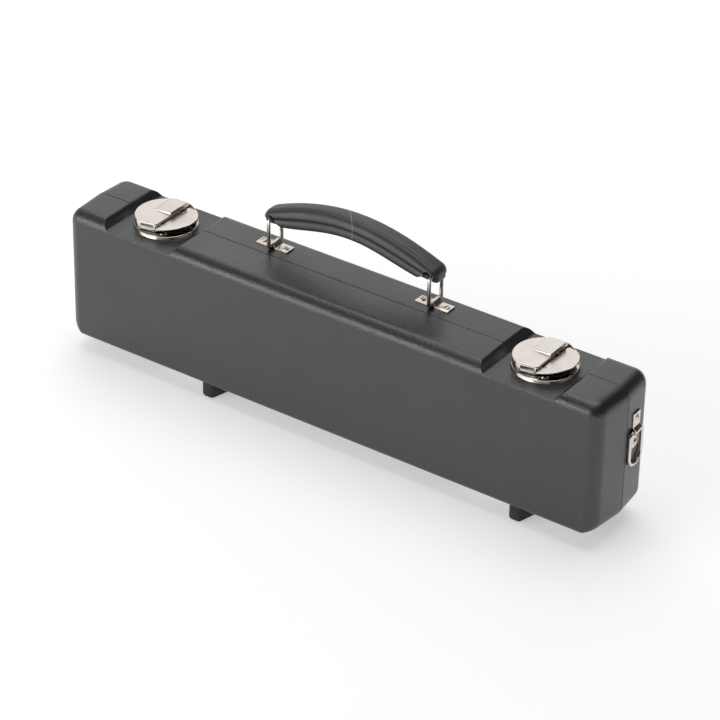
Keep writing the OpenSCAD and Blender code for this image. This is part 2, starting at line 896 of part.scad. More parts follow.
module front_shell() {
    color(shell_tone)
        placed()
            mirror([0, 1, 0])
                difference() {
                    half_shell(lid_depth);
                    hinge_rivet_holes();
                    peg_holes(lid_depth);
                    mirror([0, 1, 0])
                        for (side = [-1, 1])
                            at_latch(side) keeper_stud_places() hole_down(stud_r, dish_t + 2*wall);
                }
}

module lid_lining() {
    color(plush_tone)
        placed()
            mirror([0, 1, 0])
                half_filling(lid_depth - wall - lining_t, lid_depth, soft_gap);
}

module rear_feet() {
    color(foot_tone) placed() foot_pairs(base_depth);
}

module front_feet() {
    color(foot_tone) placed() mirror([0, 1, 0]) foot_pairs(lid_depth);
}

module hinge_rear(side) {
    color(metal_tone) placed() translate([side*hinge_x, 0, 0]) outer_leaf();
}

module hinge_front(side) {
    color(metal_tone) placed() translate([side*hinge_x, 0, 0]) mirror([0, 1, 0]) middle_leaf();
}

module hinge_pin(side) {
    color(metal_tone) placed() translate([side*hinge_x, 0, hinge_z]) rod_x(hinge_pin_r, hinge_l);
}

module hinge_rivets_rear() {
    color(metal_tone) placed() hinge_rivets();
}

module hinge_rivets_front() {
    color(metal_tone) placed() mirror([0, 1, 0]) hinge_rivets();
}

module latch_rivets() {
    color(metal_tone)
        placed()
            for (side = [-1, 1])
                at_latch(side) base_rivet_places()
                    fastener(rivet_head_r, rivet_head_h, rivet_r, dish_t + wall);
}

module keeper_studs() {
    color(metal_tone)
        placed()
            for (side = [-1, 1])
                at_latch(side) keeper_stud_places()
                    fastener(stud_head_r, rim_h - dish_t, stud_r, dish_t + wall);
}

module handle_screws() {
    color(metal_tone)
        placed()
            for (side = [-1, 1]) at_saddle(side) saddle_screws();
}

module strap_screws() {
    color(metal_tone)
        placed()
            for (side = [-1, 1]) at_strap(side) saddle_screws();
}

module handle_grip() {
    color(grip_tone)
        placed()
            translate([handle_x, handle_y, 0])
                difference() {
                    grip_body();
                    for (side = [-1, 1]) translate([side*bar_x, 0, bar_z]) bar_seat();
                }
}

rear_shell();
base_insert();
rear_feet();
hinge_rear(-1);  // hinge_rear_left
hinge_rear(1);  // hinge_rear_right
hinge_pin(-1);  // hinge_pin_left
hinge_pin(1);  // hinge_pin_right
hinge_rivets_rear();
color(metal_tone) placed() at_latch(-1) latch_base();  // latch_base_left
color(metal_tone) placed() at_latch(1) latch_base();  // latch_base_right
latch_rivets();
color(metal_tone) placed() at_latch(-1) latch_pivot();  // latch_pivot_left
color(metal_tone) placed() at_latch(1) latch_pivot();  // latch_pivot_right
color(metal_tone) placed() at_saddle(-1) saddle(bail_r);  // handle_saddle_left
color(metal_tone) placed() at_saddle(1) saddle(bail_r);  // handle_saddle_right
handle_screws();
color(metal_tone) placed() at_strap(-1) saddle(ring_r);  // strap_saddle_left
color(metal_tone) placed() at_strap(1) saddle(ring_r);  // strap_saddle_right
strap_screws();
front_shell();
lid_lining();
front_feet();
hinge_front(-1);  // hinge_front_left
hinge_front(1);  // hinge_front_right
hinge_rivets_front();
color(metal_tone) placed() at_latch(-1) latch_keeper();  // latch_keeper_left
color(metal_tone) placed() at_latch(1) latch_keeper();  // latch_keeper_right
keeper_studs();
color(metal_tone) placed() at_latch(-1) latch_disc();  // latch_disc_left
color(metal_tone) placed() at_latch(1) latch_disc();  // latch_disc_right
color(metal_tone) placed() at_latch(-1) latch_hook();  // latch_hook_left
color(metal_tone) placed() at_latch(1) latch_hook();  // latch_hook_right
color(metal_tone) placed() at_latch(-1) flap_pin();  // flap_pin_left
color(metal_tone) placed() at_latch(1) flap_pin();  // flap_pin_right
color(metal_tone) placed() at_latch(-1) latch_flap();  // latch_flap_left
color(metal_tone) placed() at_latch(1) latch_flap();  // latch_flap_right
color(metal_tone) placed() bail(-1);  // bail_left
handle_grip();
color(metal_tone) placed() bail(1);  // bail_right
color(metal_tone) placed() strap_ring(-1);  // strap_ring_left
color(metal_tone) placed() strap_ring(1);  // strap_ring_right
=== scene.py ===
"""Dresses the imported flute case: moulded shells, turn latches, folding handle, strap rings and plush lining.

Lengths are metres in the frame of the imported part. Sizes given in the code are millimetres times MM.
"""

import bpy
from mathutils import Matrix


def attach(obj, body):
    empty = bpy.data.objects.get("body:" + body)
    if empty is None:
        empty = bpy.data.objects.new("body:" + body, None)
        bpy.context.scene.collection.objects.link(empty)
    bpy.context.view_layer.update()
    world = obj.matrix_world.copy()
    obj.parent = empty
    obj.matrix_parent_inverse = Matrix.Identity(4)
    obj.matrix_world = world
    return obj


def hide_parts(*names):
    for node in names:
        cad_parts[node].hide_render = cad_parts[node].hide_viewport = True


bl_info = {
    "name": "Flute Case Dressing",
    "version": (1, 0, 0),
    "blender": (4, 5, 0),
    "location": "View3D > Sidebar > Flute Case",
    "description": "Shells, latches, handle, rings, lining and studio of a flute case",
    "category": "Object",
}

from math import acos, atan, cos, degrees, hypot, pi, radians, sin, sqrt, tan

import bmesh
import bpy
import numpy as np
from bpy.props import FloatProperty, FloatVectorProperty, PointerProperty
from bpy.types import Operator, Panel, PropertyGroup
from mathutils import Matrix, Vector

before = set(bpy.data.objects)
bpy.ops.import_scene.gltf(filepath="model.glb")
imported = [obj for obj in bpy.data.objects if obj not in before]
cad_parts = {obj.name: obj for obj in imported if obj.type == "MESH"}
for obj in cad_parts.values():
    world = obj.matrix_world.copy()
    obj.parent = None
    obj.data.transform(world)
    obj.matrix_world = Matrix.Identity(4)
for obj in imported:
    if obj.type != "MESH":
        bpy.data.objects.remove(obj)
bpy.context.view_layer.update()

MM = 0.001
SIDES = ((-1, "left"), (1, "right"))
WHITE = (1.0, 1.0, 1.0, 1.0)

# Case, recesses and feet as the source gives them, in millimetres
SEAM_Y = 1.25
SEAM_Z = 9.8
CASE_L = 420.0
CASE_H = 96.8
LID_DEPTH = 32.0
BASE_DEPTH = 29.5
WALL = 2.5
DRAFT = radians(3.6)
SLOPE = tan(DRAFT)
EDGE_R = 9.0
LOW_EDGE_R = 3.0
CORNER_R = 9.5
LEAST_R = 0.2
TONGUE_H = 3.0
TONGUE_T = 1.2
LATCH_X = 149.0
RECESS_W = 64.0
RECESS_D = 5.8
RECESS_RUN = 7.0
FLOOR_Z = CASE_H - RECESS_D
FOOT_X = (-91.0, 152.0)
FOOT_L = 17.0
FOOT_INSET = 2.0

# Depth of the dark line between the shells, inset of the tongue, spread of the feet
SEAM_DEEP = 1.4
TONGUE_INSET = 3.0
FOOT_FLARE = 4.5

# Points that are closer than this, in metres, are merged
MERGE = 1e-6


def mm(x, y, z):
    """A point given in millimetres."""
    return Vector((x, y, z)) * MM


def seam_point(x, y, z):
    """A point given in millimetres from the middle of the seam's lowest line, in the part's frame."""
    return mm(x, y + SEAM_Y, z + SEAM_Z)


# Sizes and colours


def length(name, description, default):
    return FloatProperty(
        name=name, description=description, default=default, min=0.0, unit="LENGTH", subtype="DISTANCE", precision=5
    )


def tone(name, description, default):
    return FloatVectorProperty(
        name=name, description=description, default=default, size=4, min=0.0, max=1.0, subtype="COLOR"
    )


class FLUTE_PG_shell(PropertyGroup):
    """Moulded shells."""

    seam_gap: length("Seam Gap", "How far each shell stays back from the seam", 0.00022)
    soft_edge: length("Soft Edge", "Radius of the moulded edges", 0.0007)
    grain: length("Grain", "Cell size of the moulded grain", 0.0012)
    grain_depth: length("Grain Depth", "Depth of the moulded grain", 0.00013)
    colour: tone("Colour", "Black moulded plastic", (0.018, 0.018, 0.019, 1.0))
    worn_colour: tone("Worn Colour", "The same plastic where it is rubbed", (0.024, 0.024, 0.025, 1.0))


class FLUTE_PG_latch(PropertyGroup):
    """Turn latches."""

    edge: length("Disc Edge", "Radius of the pressed edge of the disc", 0.0007)
    rise: length("Quarter Rise", "How far the rear quarter of the disc rises", 0.0020)
    corner: length("Wall Corner", "Radius of the upright corner of the flat front wall", 0.0013)
    lip: length("Flap Lip", "Radius of the edge of the flap", 0.00045)
    top_colour: tone("Top Colour", "Satin nickel of the disc tops", (0.74, 0.69, 0.64, 1.0))
    wall_colour: tone("Wall Colour", "Polished nickel of walls, rims and wires", (0.72, 0.67, 0.61, 1.0))


class FLUTE_PG_handle(PropertyGroup):
    """Handle, saddles and strap rings."""

    flash: length("Mould Line", "Half width of the line across the grip", 0.0006)
    strap_t: length("Strap Thickness", "Thickness of the saddle sheet", 0.001)
    cross: length("Screw Cross", "Width of the slots in the screw heads", 0.00055)
    colour: tone("Grip Colour", "Soft moulded grip", (0.021, 0.021, 0.022, 1.0))
    flash_colour: tone("Mould Line Colour", "The paler mould line across the grip", (0.16, 0.16, 0.16, 1.0))
    warm_colour: tone("Saddle Colour", "Warmer nickel of saddles and screws", (0.72, 0.66, 0.58, 1.0))


class FLUTE_PG_lining(PropertyGroup):
    """Plush lining."""

    voxel: length("Plush Voxel", "Cell size of the plush form", 0.0016)
    pile: length("Pile", "Depth of the unevenness of the pile", 0.00025)
    colour: tone("Plush Colour", "Short plush", (0.030, 0.034, 0.060, 1.0))
    light_colour: tone("Brushed Colour", "Plush where the pile lies over", (0.055, 0.062, 0.105, 1.0))


class FLUTE_PG_stage(PropertyGroup):
    """Floor, lamps and camera."""

    floor: tone("Floor", "Pale floor", (0.87, 0.87, 0.87, 1.0))
    lamp_distance: length("Lamp Distance", "Distance of the lamps from the case", 1.4)


GROUPS = {
    "flute_shell": FLUTE_PG_shell,
    "flute_latch": FLUTE_PG_latch,
    "flute_handle": FLUTE_PG_handle,
    "flute_lining": FLUTE_PG_lining,
    "flute_stage": FLUTE_PG_stage,
}


# Mesh helpers


def new_object(name, data):
    """An object of the scene that shows a mesh, lamp or camera."""
    piece = bpy.data.objects.new(name, data)
    bpy.context.scene.collection.objects.link(piece)
    return piece


def mesh_object(name, points, faces):
    """An object from points in metres and lists of point numbers."""
    mesh = bpy.data.meshes.new(name)
    mesh.from_pydata([tuple(p) for p in points], [], [tuple(f) for f in faces])
    mesh.update()
    return new_object(name, mesh)


def bmesh_object(name, bm):
    """An object from an edit mesh, which is freed."""
    mesh = bpy.data.meshes.new(name)
    bm.to_mesh(mesh)
    bm.free()
    return new_object(name, mesh)


def face_out(piece, merge=0.0):
    """Turns all faces of a closed form outwards, after merging doubled points if asked to."""
    bm = bmesh.new()
    bm.from_mesh(piece.data)
    if merge:
        bmesh.ops.remove_doubles(bm, verts=bm.verts, dist=merge)
    bmesh.ops.recalc_face_normals(bm, faces=bm.faces)
    bm.to_mesh(piece.data)
    bm.free()


def tidy_mesh(piece, angle=35.0):
    """Merges doubled points, turns the faces outwards and shades smooth below an angle."""
    face_out(piece, MERGE)
    piece.data.shade_smooth()
    piece.data.set_sharp_from_angle(angle=radians(angle))


def modify(piece, kind, **settings):
    """Adds a modifier to a piece."""
    step = piece.modifiers.new(kind.lower(), kind)
    for name, value in settings.items():
        setattr(step, name, value)
    return step


def settle(piece):
    """Replaces the mesh by what its modifiers make of it."""
    graph = bpy.context.evaluated_depsgraph_get()
    graph.update()
    made = bpy.data.meshes.new_from_object(piece.evaluated_get(graph))
    piece.modifiers.clear()
    piece.data = made


def moved(piece, matrix):
    """The piece, its points moved by a matrix."""
    piece.data.transform(matrix)
    return piece


def drop(piece):
    bpy.data.objects.remove(piece, do_unlink=True)


def cut(piece, *cutters):
    """Cuts closed forms from a piece and removes them."""
    for cutter in cutters:
        face_out(piece)
        face_out(cutter)
        modify(piece, "BOOLEAN", operation="DIFFERENCE", solver="EXACT", object=cutter)
        settle(piece)
        drop(cutter)


def join(name, pieces):
    """One object from several."""
    bm = bmesh.new()
    for piece in pieces:
        bm.from_mesh(piece.data)
        drop(piece)
    return bmesh_object(name, bm)


def loft(name, rings, loop=False):
    """Form through rings of points that all have the same number of points: closed by caps, or in a loop."""
    m, n = len(rings), len(rings[0])
    faces = [] if loop else [list(range(n - 1, -1, -1))]
    for i in range(m if loop else m - 1):
        for j in range(n):
            k, q = (i + 1) % m, (j + 1) % n
            faces.append([i * n + j, i * n + q, k * n + q, k * n + j])
    if not loop:
        faces.append([(m - 1) * n + j for j in range(n)])
    return mesh_object(name, [p for ring in rings for p in ring], faces)


def turned(name, profile, steps, start=0.0, end=360.0):
    """A profile of (radius, height) in millimetres, turned about the Z axis of a latch or screw."""
    whole = end - start >= 360.0
    rings = []
    for i in range(steps if whole else steps + 1):
        a = radians(start + (end - start) * i / steps)
        rings.append([mm(r * cos(a), r * sin(a), z) for r, z in profile])
    return loft(name, rings, whole)


def block(name, low, high, bevel=0.0, segments=3):
    """A block between two corners in millimetres, with rounded edges."""
    bm = bmesh.new()
    bmesh.ops.create_cube(bm, size=1.0)
    low, high = mm(*low), mm(*high)
    for v in bm.verts:
        v.co = Vector((low[i] + (high[i] - low[i]) * (v.co[i] + 0.5) for i in range(3)))
    if bevel:
        round_off = {"offset": bevel * MM, "segments": segments, "profile": 0.5, "affect": "EDGES"}
        bmesh.ops.bevel(bm, geom=bm.edges[:], **round_off)
    return bmesh_object(name, bm)


def rod(name, axis, centre, radius, span, steps=48):
    """A straight closed rod along the y or z axis, in millimetres."""
    bm = bmesh.new()
    turn = Matrix.Rotation(pi / 2, 4, "X") if axis == "y" else Matrix.Identity(4)
    form = {"radius1": radius * MM, "radius2": radius * MM, "depth": span * MM}
    bmesh.ops.create_cone(bm, cap_ends=True, segments=steps, matrix=Matrix.Translation(mm(*centre)) @ turn, **form)
    return bmesh_object(name, bm)


def wire(name, path, radius, steps=20):
    """A closed loop of round wire along points in metres, radius in millimetres."""
    path = np.array(path, float)
    ahead = np.roll(path, -1, 0) - np.roll(path, 1, 0)
    ahead /= np.linalg.norm(ahead, axis=1)[:, None]
    normal = np.cross(path[1] - path[0], path[len(path) // 3] - path[0])
    normal /= np.linalg.norm(normal)
    turns = [2 * pi * j / steps for j in range(steps)]
    rings = []
    for point, side in zip(path, np.cross(ahead, normal)):
        rings.append([point + radius * MM * (side * cos(a) + normal * sin(a)) for a in turns])
    return loft(name, rings, True)


def finish_piece(piece, body, finish, stands_for=(), angle=35.0):
    """Shades a piece, gives it its finish and ties it to its body."""
    tidy_mesh(piece, angle)
    piece.data.materials.append(finish)
    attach(piece, body)
    if stands_for:
        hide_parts(*stands_for)


# Finishes


def feed(tree, node, inputs):
    """Gives inputs of a node their values, or the outputs that lead into them."""
    for name, value in inputs.items():
        if isinstance(value, bpy.types.NodeSocket):
            tree.links.new(value, node.inputs[name])
        else:
            node.inputs[name].default_value = value


def add_node(tree, kind, inputs=None, **settings):
    """A node with its settings and inputs."""
    made = tree.nodes.new(kind)
    for name, value in settings.items():
        setattr(made, name, value)
    feed(tree, made, inputs or {})
    return made


def map_range(tree, value, low, high, start, end, kind="LINEAR"):
    """A number that goes from low to high while a value goes from start to end."""
    inputs = {"Value": value, "From Min": start, "From Max": end, "To Min": low, "To Max": high}
    return add_node(tree, "ShaderNodeMapRange", inputs, interpolation_type=kind).outputs["Result"]


class Finish:
    """Small helper that builds one node material."""

    def __init__(self, name):
        self.material = bpy.data.materials.new(name)
        self.material.use_nodes = True
        self.tree = self.material.node_tree
        self.shader = self.tree.nodes["Principled BSDF"]
        self.where = self.node("ShaderNodeTexCoord").outputs["Object"]

    def node(self, kind, inputs=None, **settings):
        return add_node(self.tree, kind, inputs, **settings)

    def math(self, operation, *values):
        return self.node("ShaderNodeMath", dict(enumerate(values)), operation=operation).outputs[0]

    def noise(self, scale, detail=3.0, rough=0.55, stretch=None):
        where = self.where
        if stretch:
            where = self.node("ShaderNodeMapping", {"Scale": stretch, "Vector": where}).outputs["Vector"]
        inputs = {"Scale": scale, "Detail": detail, "Roughness": rough, "Vector": where}
        return self.node("ShaderNodeTexNoise", inputs).outputs["Fac"]

    def cells(self, scale):
        inputs = {"Scale": scale, "Smoothness": 0.6, "Vector": self.where}
        return self.node("ShaderNodeTexVoronoi", inputs, feature="SMOOTH_F1").outputs["Distance"]

    def spread(self, value, low, high, start=0.3, end=0.7):
        """A varying number between low and high."""
        return map_range(self.tree, value, low, high, start, end)

    def colours(self, value, first, second, start=0.35, end=0.65, over=None):
        """Base colour between two tones, with a third one over it where a factor says so."""
        made = self.node("ShaderNodeValToRGB", {"Fac": value})
        for stop, position, tint in zip(made.color_ramp.elements, (start, end), (first, second)):
            stop.position = position
            stop.color = tint
        result = made.outputs["Color"]
        if over:
            mix = self.node("ShaderNodeMix", {"Factor": over[0], 6: result, 7: over[1]}, data_type="RGBA")
            result = mix.outputs[2]
        self.set(Base_Color=result)

    def slanting_line(self, x, y, lean, width):
        """1 on a thin line that slants across a piece through (x, y), 0 beside it."""
        split = self.node("ShaderNodeSeparateXYZ", {0: self.where}).outputs
        leaned = self.math("MULTIPLY_ADD", split["Y"], lean, -x - lean * y)
        away = self.math("ABSOLUTE", self.math("ADD", leaned, split["X"]))
        return self.spread(away, 1.0, 0.0, width * 0.4, width)

    def relief(self, heights, soft_edge=0.0):
        """Bumps from a list of (height, depth in metres), over edges that look rounded."""
        below = {}
        if soft_edge:
            soft = self.node("ShaderNodeBevel", {"Radius": soft_edge}, samples=6)
            below = {"Normal": soft.outputs["Normal"]}
        for height, depth in heights:
            bump = self.node("ShaderNodeBump", {"Distance": depth, "Strength": 1.0, "Height": height, **below})
            below = {"Normal": bump.outputs["Normal"]}
        self.set(**below)

    def set(self, **inputs):
        """Sets inputs of the shader to values or outputs."""
        feed(self.tree, self.shader, {name.replace("_", " "): value for name, value in inputs.items()})


def scaled_tone(colour, factor):
    """A lighter or darker tone."""
    return tuple(min(1.0, c * factor) for c in colour[:3]) + (1.0,)


def moulded_plastic(name, first, second, grain, depth, soft_edge, rough=(0.26, 0.36), line=None):
    """Black plastic from a grained mould, a little smoother where it is handled."""
    f = Finish(name)
    over = (f.slanting_line(*line[0]), line[1]) if line else None
    f.colours(f.noise(22.0, 4.0), first, second, over=over)
    f.relief([(f.cells(1.0 / grain), depth), (f.noise(0.6 / grain, 2.0), depth * 0.6)], soft_edge)
    f.set(IOR=1.7, Roughness=f.spread(f.noise(35.0), *rough))
    return f.material


def nickel(name, colour, rough, brushed=0.0, soft_edge=0.0):
    """Nickel plate with faint drawing marks and finger marks."""
    f = Finish(name)
    f.colours(f.noise(90.0), scaled_tone(colour, 0.93), colour)
    heights = [(f.noise(420.0, 2.0), 0.000012)]
    if brushed:
        heights.append((f.noise(900.0, 2.0, stretch=(0.06, 1.0, 1.0)), brushed))
    f.relief(heights, soft_edge)
    f.set(Metallic=1.0, Roughness=f.spread(f.noise(240.0, 4.0), *rough))
    return f.material


def rubber(name, colour):
    """Dull black rubber."""
    f = Finish(name)
    f.colours(f.noise(160.0, 4.0), colour, scaled_tone(colour, 1.5))
    f.relief([(f.noise(1800.0, 2.0), 0.00004)], 0.0006)
    f.set(Roughness=f.spread(f.noise(300.0, 2.0), 0.6, 0.78))
    return f.material


def plush(name, first, second, pile):
    """Short pile with brushed patches."""
    f = Finish(name)
    f.colours(f.noise(70.0, 5.0, 0.65), first, second, 0.4, 0.62)
    f.relief([(f.noise(1500.0, 3.0, 0.7), pile), (f.noise(160.0), pile)])
    f.set(Roughness=0.95, Sheen_Weight=0.5, Sheen_Roughness=0.4, Specular_IOR_Level=0.2)
    return f.material


# Shells


def half_width(r, d):
    """Half the width of a circle of radius r at distance d from its middle."""
    return sqrt(max(r * r - d * d, 0.0))


def fall(r, d):
    """How far a rounded edge of radius r falls back at distance d from its end face."""
    return 0.0 if d >= r else r - half_width(r, r - d)


def case_outline(t, depth, inset, steps=16):
    """Points of one ring round the case at distance t from the seam, as (x, z) in millimetres."""
    top_r, low_r = (
        max(CORNER_R - inset - fall(max(r - inset, LEAST_R), depth - inset - t), LEAST_R)
        for r in (EDGE_R, LOW_EDGE_R)
    )
    centre_x = CASE_L / 2 - t * SLOPE - CORNER_R
    top_z, low_z = CASE_H - CORNER_R, max(t, 0.0) * SLOPE + CORNER_R
    ring = []
    for k in range(4):
        side = 1 if k in (0, 3) else -1
        z0, rz = (top_z, top_r) if k < 2 else (low_z, low_r)
        for i in range(steps + 1):
            a = radians(90.0 * (k + i / steps))
            ring.append((side * centre_x + top_r * cos(a), z0 + rz * sin(a)))
    return ring


def recess_outline(side, margin, steps=20):
    """Outline of a latch recess as (x, z) in millimetres, grown by a margin."""
    half, low, high = RECESS_W / 2 + margin, FLOOR_Z - margin, CASE_H + 3 + margin
    slope = []
    for i in range(steps + 1):
        share = (1 + cos(pi * i / steps)) / 2
        slope.append((-half + RECESS_RUN * i / steps, low + RECESS_D * share))
    outline = slope + [(-x, z) for x, z in reversed(slope)] + [(half, high), (-half, high)]
    return [(side * LATCH_X + x, z) for x, z in outline]


def across(outline, y, facing):
    """An outline of (x, z), set at distance y from the seam on the side of one shell."""
    return [seam_point(x, facing * y, z) for x, z in outline]


def seam_stops(gap):
    """Distances from the seam and insets that leave a narrow dark gap between the shells."""
    return [(0.0, SEAM_DEEP), (gap, SEAM_DEEP), (gap, 0.12), (gap + 0.12, 0.0)]


def cut_recesses(form, facing, margin, gap=0.0):
    """Cuts both latch recesses, grown by a margin and a little wider in the gap at the seam."""
    stops = [(-4.0, margin)]
    if gap:
        stops = [(-4.0, margin + SEAM_DEEP)] + [(t, margin + m) for t, m in seam_stops(gap)]
    stops.append((40.0, margin))
    for side, _ in SIDES:
        cut(form, loft("recess", [across(recess_outline(side, m), y, facing) for y, m in stops]))


def case_form(depth, facing, inset, start, gap=0.0, steps=16):
    """Closed form of one half of the case, drawn in by an inset."""
    r, far = max(EDGE_R - inset, LEAST_R), depth - inset
    stops = seam_stops(gap) if gap else [(0.0, 0.0)]
    rings = [across(case_outline(start + t, depth, inset + more), start + t, facing) for t, more in stops]
    for i in range(steps + 1):
        t = far - r + r * sin(pi / 2 * i / steps)
        rings.append(across(case_outline(t, depth, inset), t, facing))
    return loft("form", rings)


def make_shell(name, depth, facing, sizes):
    """One moulded shell, hollow and open at the seam."""
    gap = sizes.seam_gap / MM
    hollow = case_form(depth, facing, WALL, -2.0)
    cut_recesses(hollow, facing, WALL)
    shell = case_form(depth, facing, 0.0, 0.0, gap)
    shell.name = name
    cut_recesses(shell, facing, 0.0, gap)
    cut(shell, hollow)
    return shell


def rim_form(inset, reach):
    """Solid within the outline of the seam, drawn in by an inset, that reaches to both sides of it."""
    form = loft("rim", [across(case_outline(0.0, BASE_DEPTH, inset), y, 1) for y in (-reach, reach)])
    cut_recesses(form, 1, inset)
    return form


class FLUTE_OT_shells(Operator):
    """Make the two moulded shells with their recesses, seam and tongue"""

    bl_idname = "flute.shells"
    bl_label = "Shells"
    bl_options = {"REGISTER", "UNDO"}

    def execute(self, context):
        sizes = context.scene.flute_shell
        grain = sizes.grain, sizes.grain_depth, sizes.soft_edge
        plastic = moulded_plastic("moulded_shell", sizes.colour, sizes.worn_colour, *grain)
        front = make_shell("front_case", LID_DEPTH, -1, sizes)
        finish_piece(front, "lid", plastic, ["front_shell"])
        rear = make_shell("rear_case", BASE_DEPTH, 1, sizes)
        finish_piece(rear, "base", plastic, ["rear_shell"])
        tongue = rim_form(TONGUE_INSET, TONGUE_H)
        cut(tongue, rim_form(TONGUE_INSET + TONGUE_T, TONGUE_H + 1))
        tongue.name = "rim_tongue"
        finish_piece(tongue, "base", plastic)
        return {"FINISHED"}


# Latches, in millimetres from the middle of the recess floor

# Disc, and the two half dishes round it
DISC_R = 21.2
DISC_H = 8.0
DISH_R = 22.0
RIM_H = 2.0
RIM_T = 1.1
DISH_T = 0.8
# Front wall of the disc: distance from the middle line, slant seen from above, lean of its foot
CHORD_Y = 15.6
WALL_LEAN = 0.22
WALL_DRAFT = 0.45
# Step beside the flap, foot of the skirt, start and rear edge of the raised quarter, end angle of the thin rim
STEP_X = 3.9
SKIRT_LOW = 2.3
RIDGE_END = -10.5
RISE_Y = 17.0
TAIL_END = 54.0
# Flap: axis of its pin, top at the step, rise to its edge, gap at the step, sheet, barrel and bore
FLAP_X = 6.0
FLAP_Z = 5.3
FLAP_TOP = 6.1
FLAP_RISE = 1.3
FLAP_GAP = 0.75
FLAP_T = 0.95
BARREL_R = 0.95
BARREL_L = 18.0
FLAP_BORE = 0.76
# Ears that hold the pin, and the notches over them
EAR_Y = 10.5
EAR_W = 2.2
EAR_R = 0.93
EAR_BORE = 0.72
NOTCH_W = 2.44


def at_latch(side):
    """Matrix that puts a latch on the floor of its recess."""
    return Matrix.Translation(seam_point(side * LATCH_X, 0.0, FLOOR_Z))


def smooth(x):
    """Soft change from 0 to 1."""
    x = min(max(x, 0.0), 1.0)
    return x * x * (3 - 2 * x)


def wall_y(x):
    """Distance of the flat front wall from the middle line at x."""
    return CHORD_Y + WALL_LEAN * (STEP_X - x)


def cap_edge(x, corner):
    """Distance of the front outline of the raised disc from its middle line at x."""
    over = x - (STEP_X - corner)
    round_off = 0.0 if over <= 0 else corner - half_width(corner, over)
    return min(half_width(DISC_R, x), wall_y(x) - round_off)


def cap_gap(x, y, corner):
    """Distance from a point of the disc top to its round edge, its front wall or the corner between them."""
    gaps = [DISC_R - hypot(x, y)]
    if y < 0:
        gaps.append((wall_y(x) + y) / hypot(1.0, WALL_LEAN))
        dx, dy = x - (STEP_X - corner), -y - (CHORD_Y - corner)
        if dx > 0 and dy > 0:
            gaps.append(corner - hypot(dx, dy))
    return max(min(gaps), 0.0)


def rise_share(x):
    """How much of the rise the raised quarter has at x."""
    return min(max((x - RIDGE_END) / (STEP_X - RIDGE_END), 0.0), 1.0)


def rise_edges(x):
    """Front and rear limit of the raised quarter: its corner is rounded, and it draws in from the round edge."""
    corner, least = 0.5, 0.9
    round_edge = half_width(DISC_R, x)
    full = half_width(DISC_R, STEP_X) - RISE_Y
    front = corner - half_width(corner, max(x - (STEP_X - corner), 0.0))
    return front, round_edge - min(least + (full - least) * smooth(rise_share(x)), round_edge * 0.5)


def cap_top(x, y, sizes, part):
    """Height of the disc top: the rear quarter rises to the step, a groove parts it from the round edge behind."""
    share = rise_share(x)
    low = fall(sizes.edge / MM, cap_gap(x, y, sizes.corner / MM))
    at_step = fall(0.2, max(STEP_X - x, 0.0))
    if part == "raised":
        front, rear = rise_edges(x)
        lift = sqrt(share) * sizes.rise / MM
        soft = min(0.8, lift * 0.75 + 1e-4)
        sides = fall(soft, y - front), fall(min(0.3, soft), rear - y)
        return DISC_H + lift - max(*sides, at_step, low * (1 - smooth(share * 3)))
    if part == "rim":
        groove = smooth((DISC_R - hypot(x, y) - 0.8) / 0.5)
        return DISC_H - smooth(share * 2) * (0.25 + 1.0 * groove) - low
    return DISC_H - max(low, at_step)


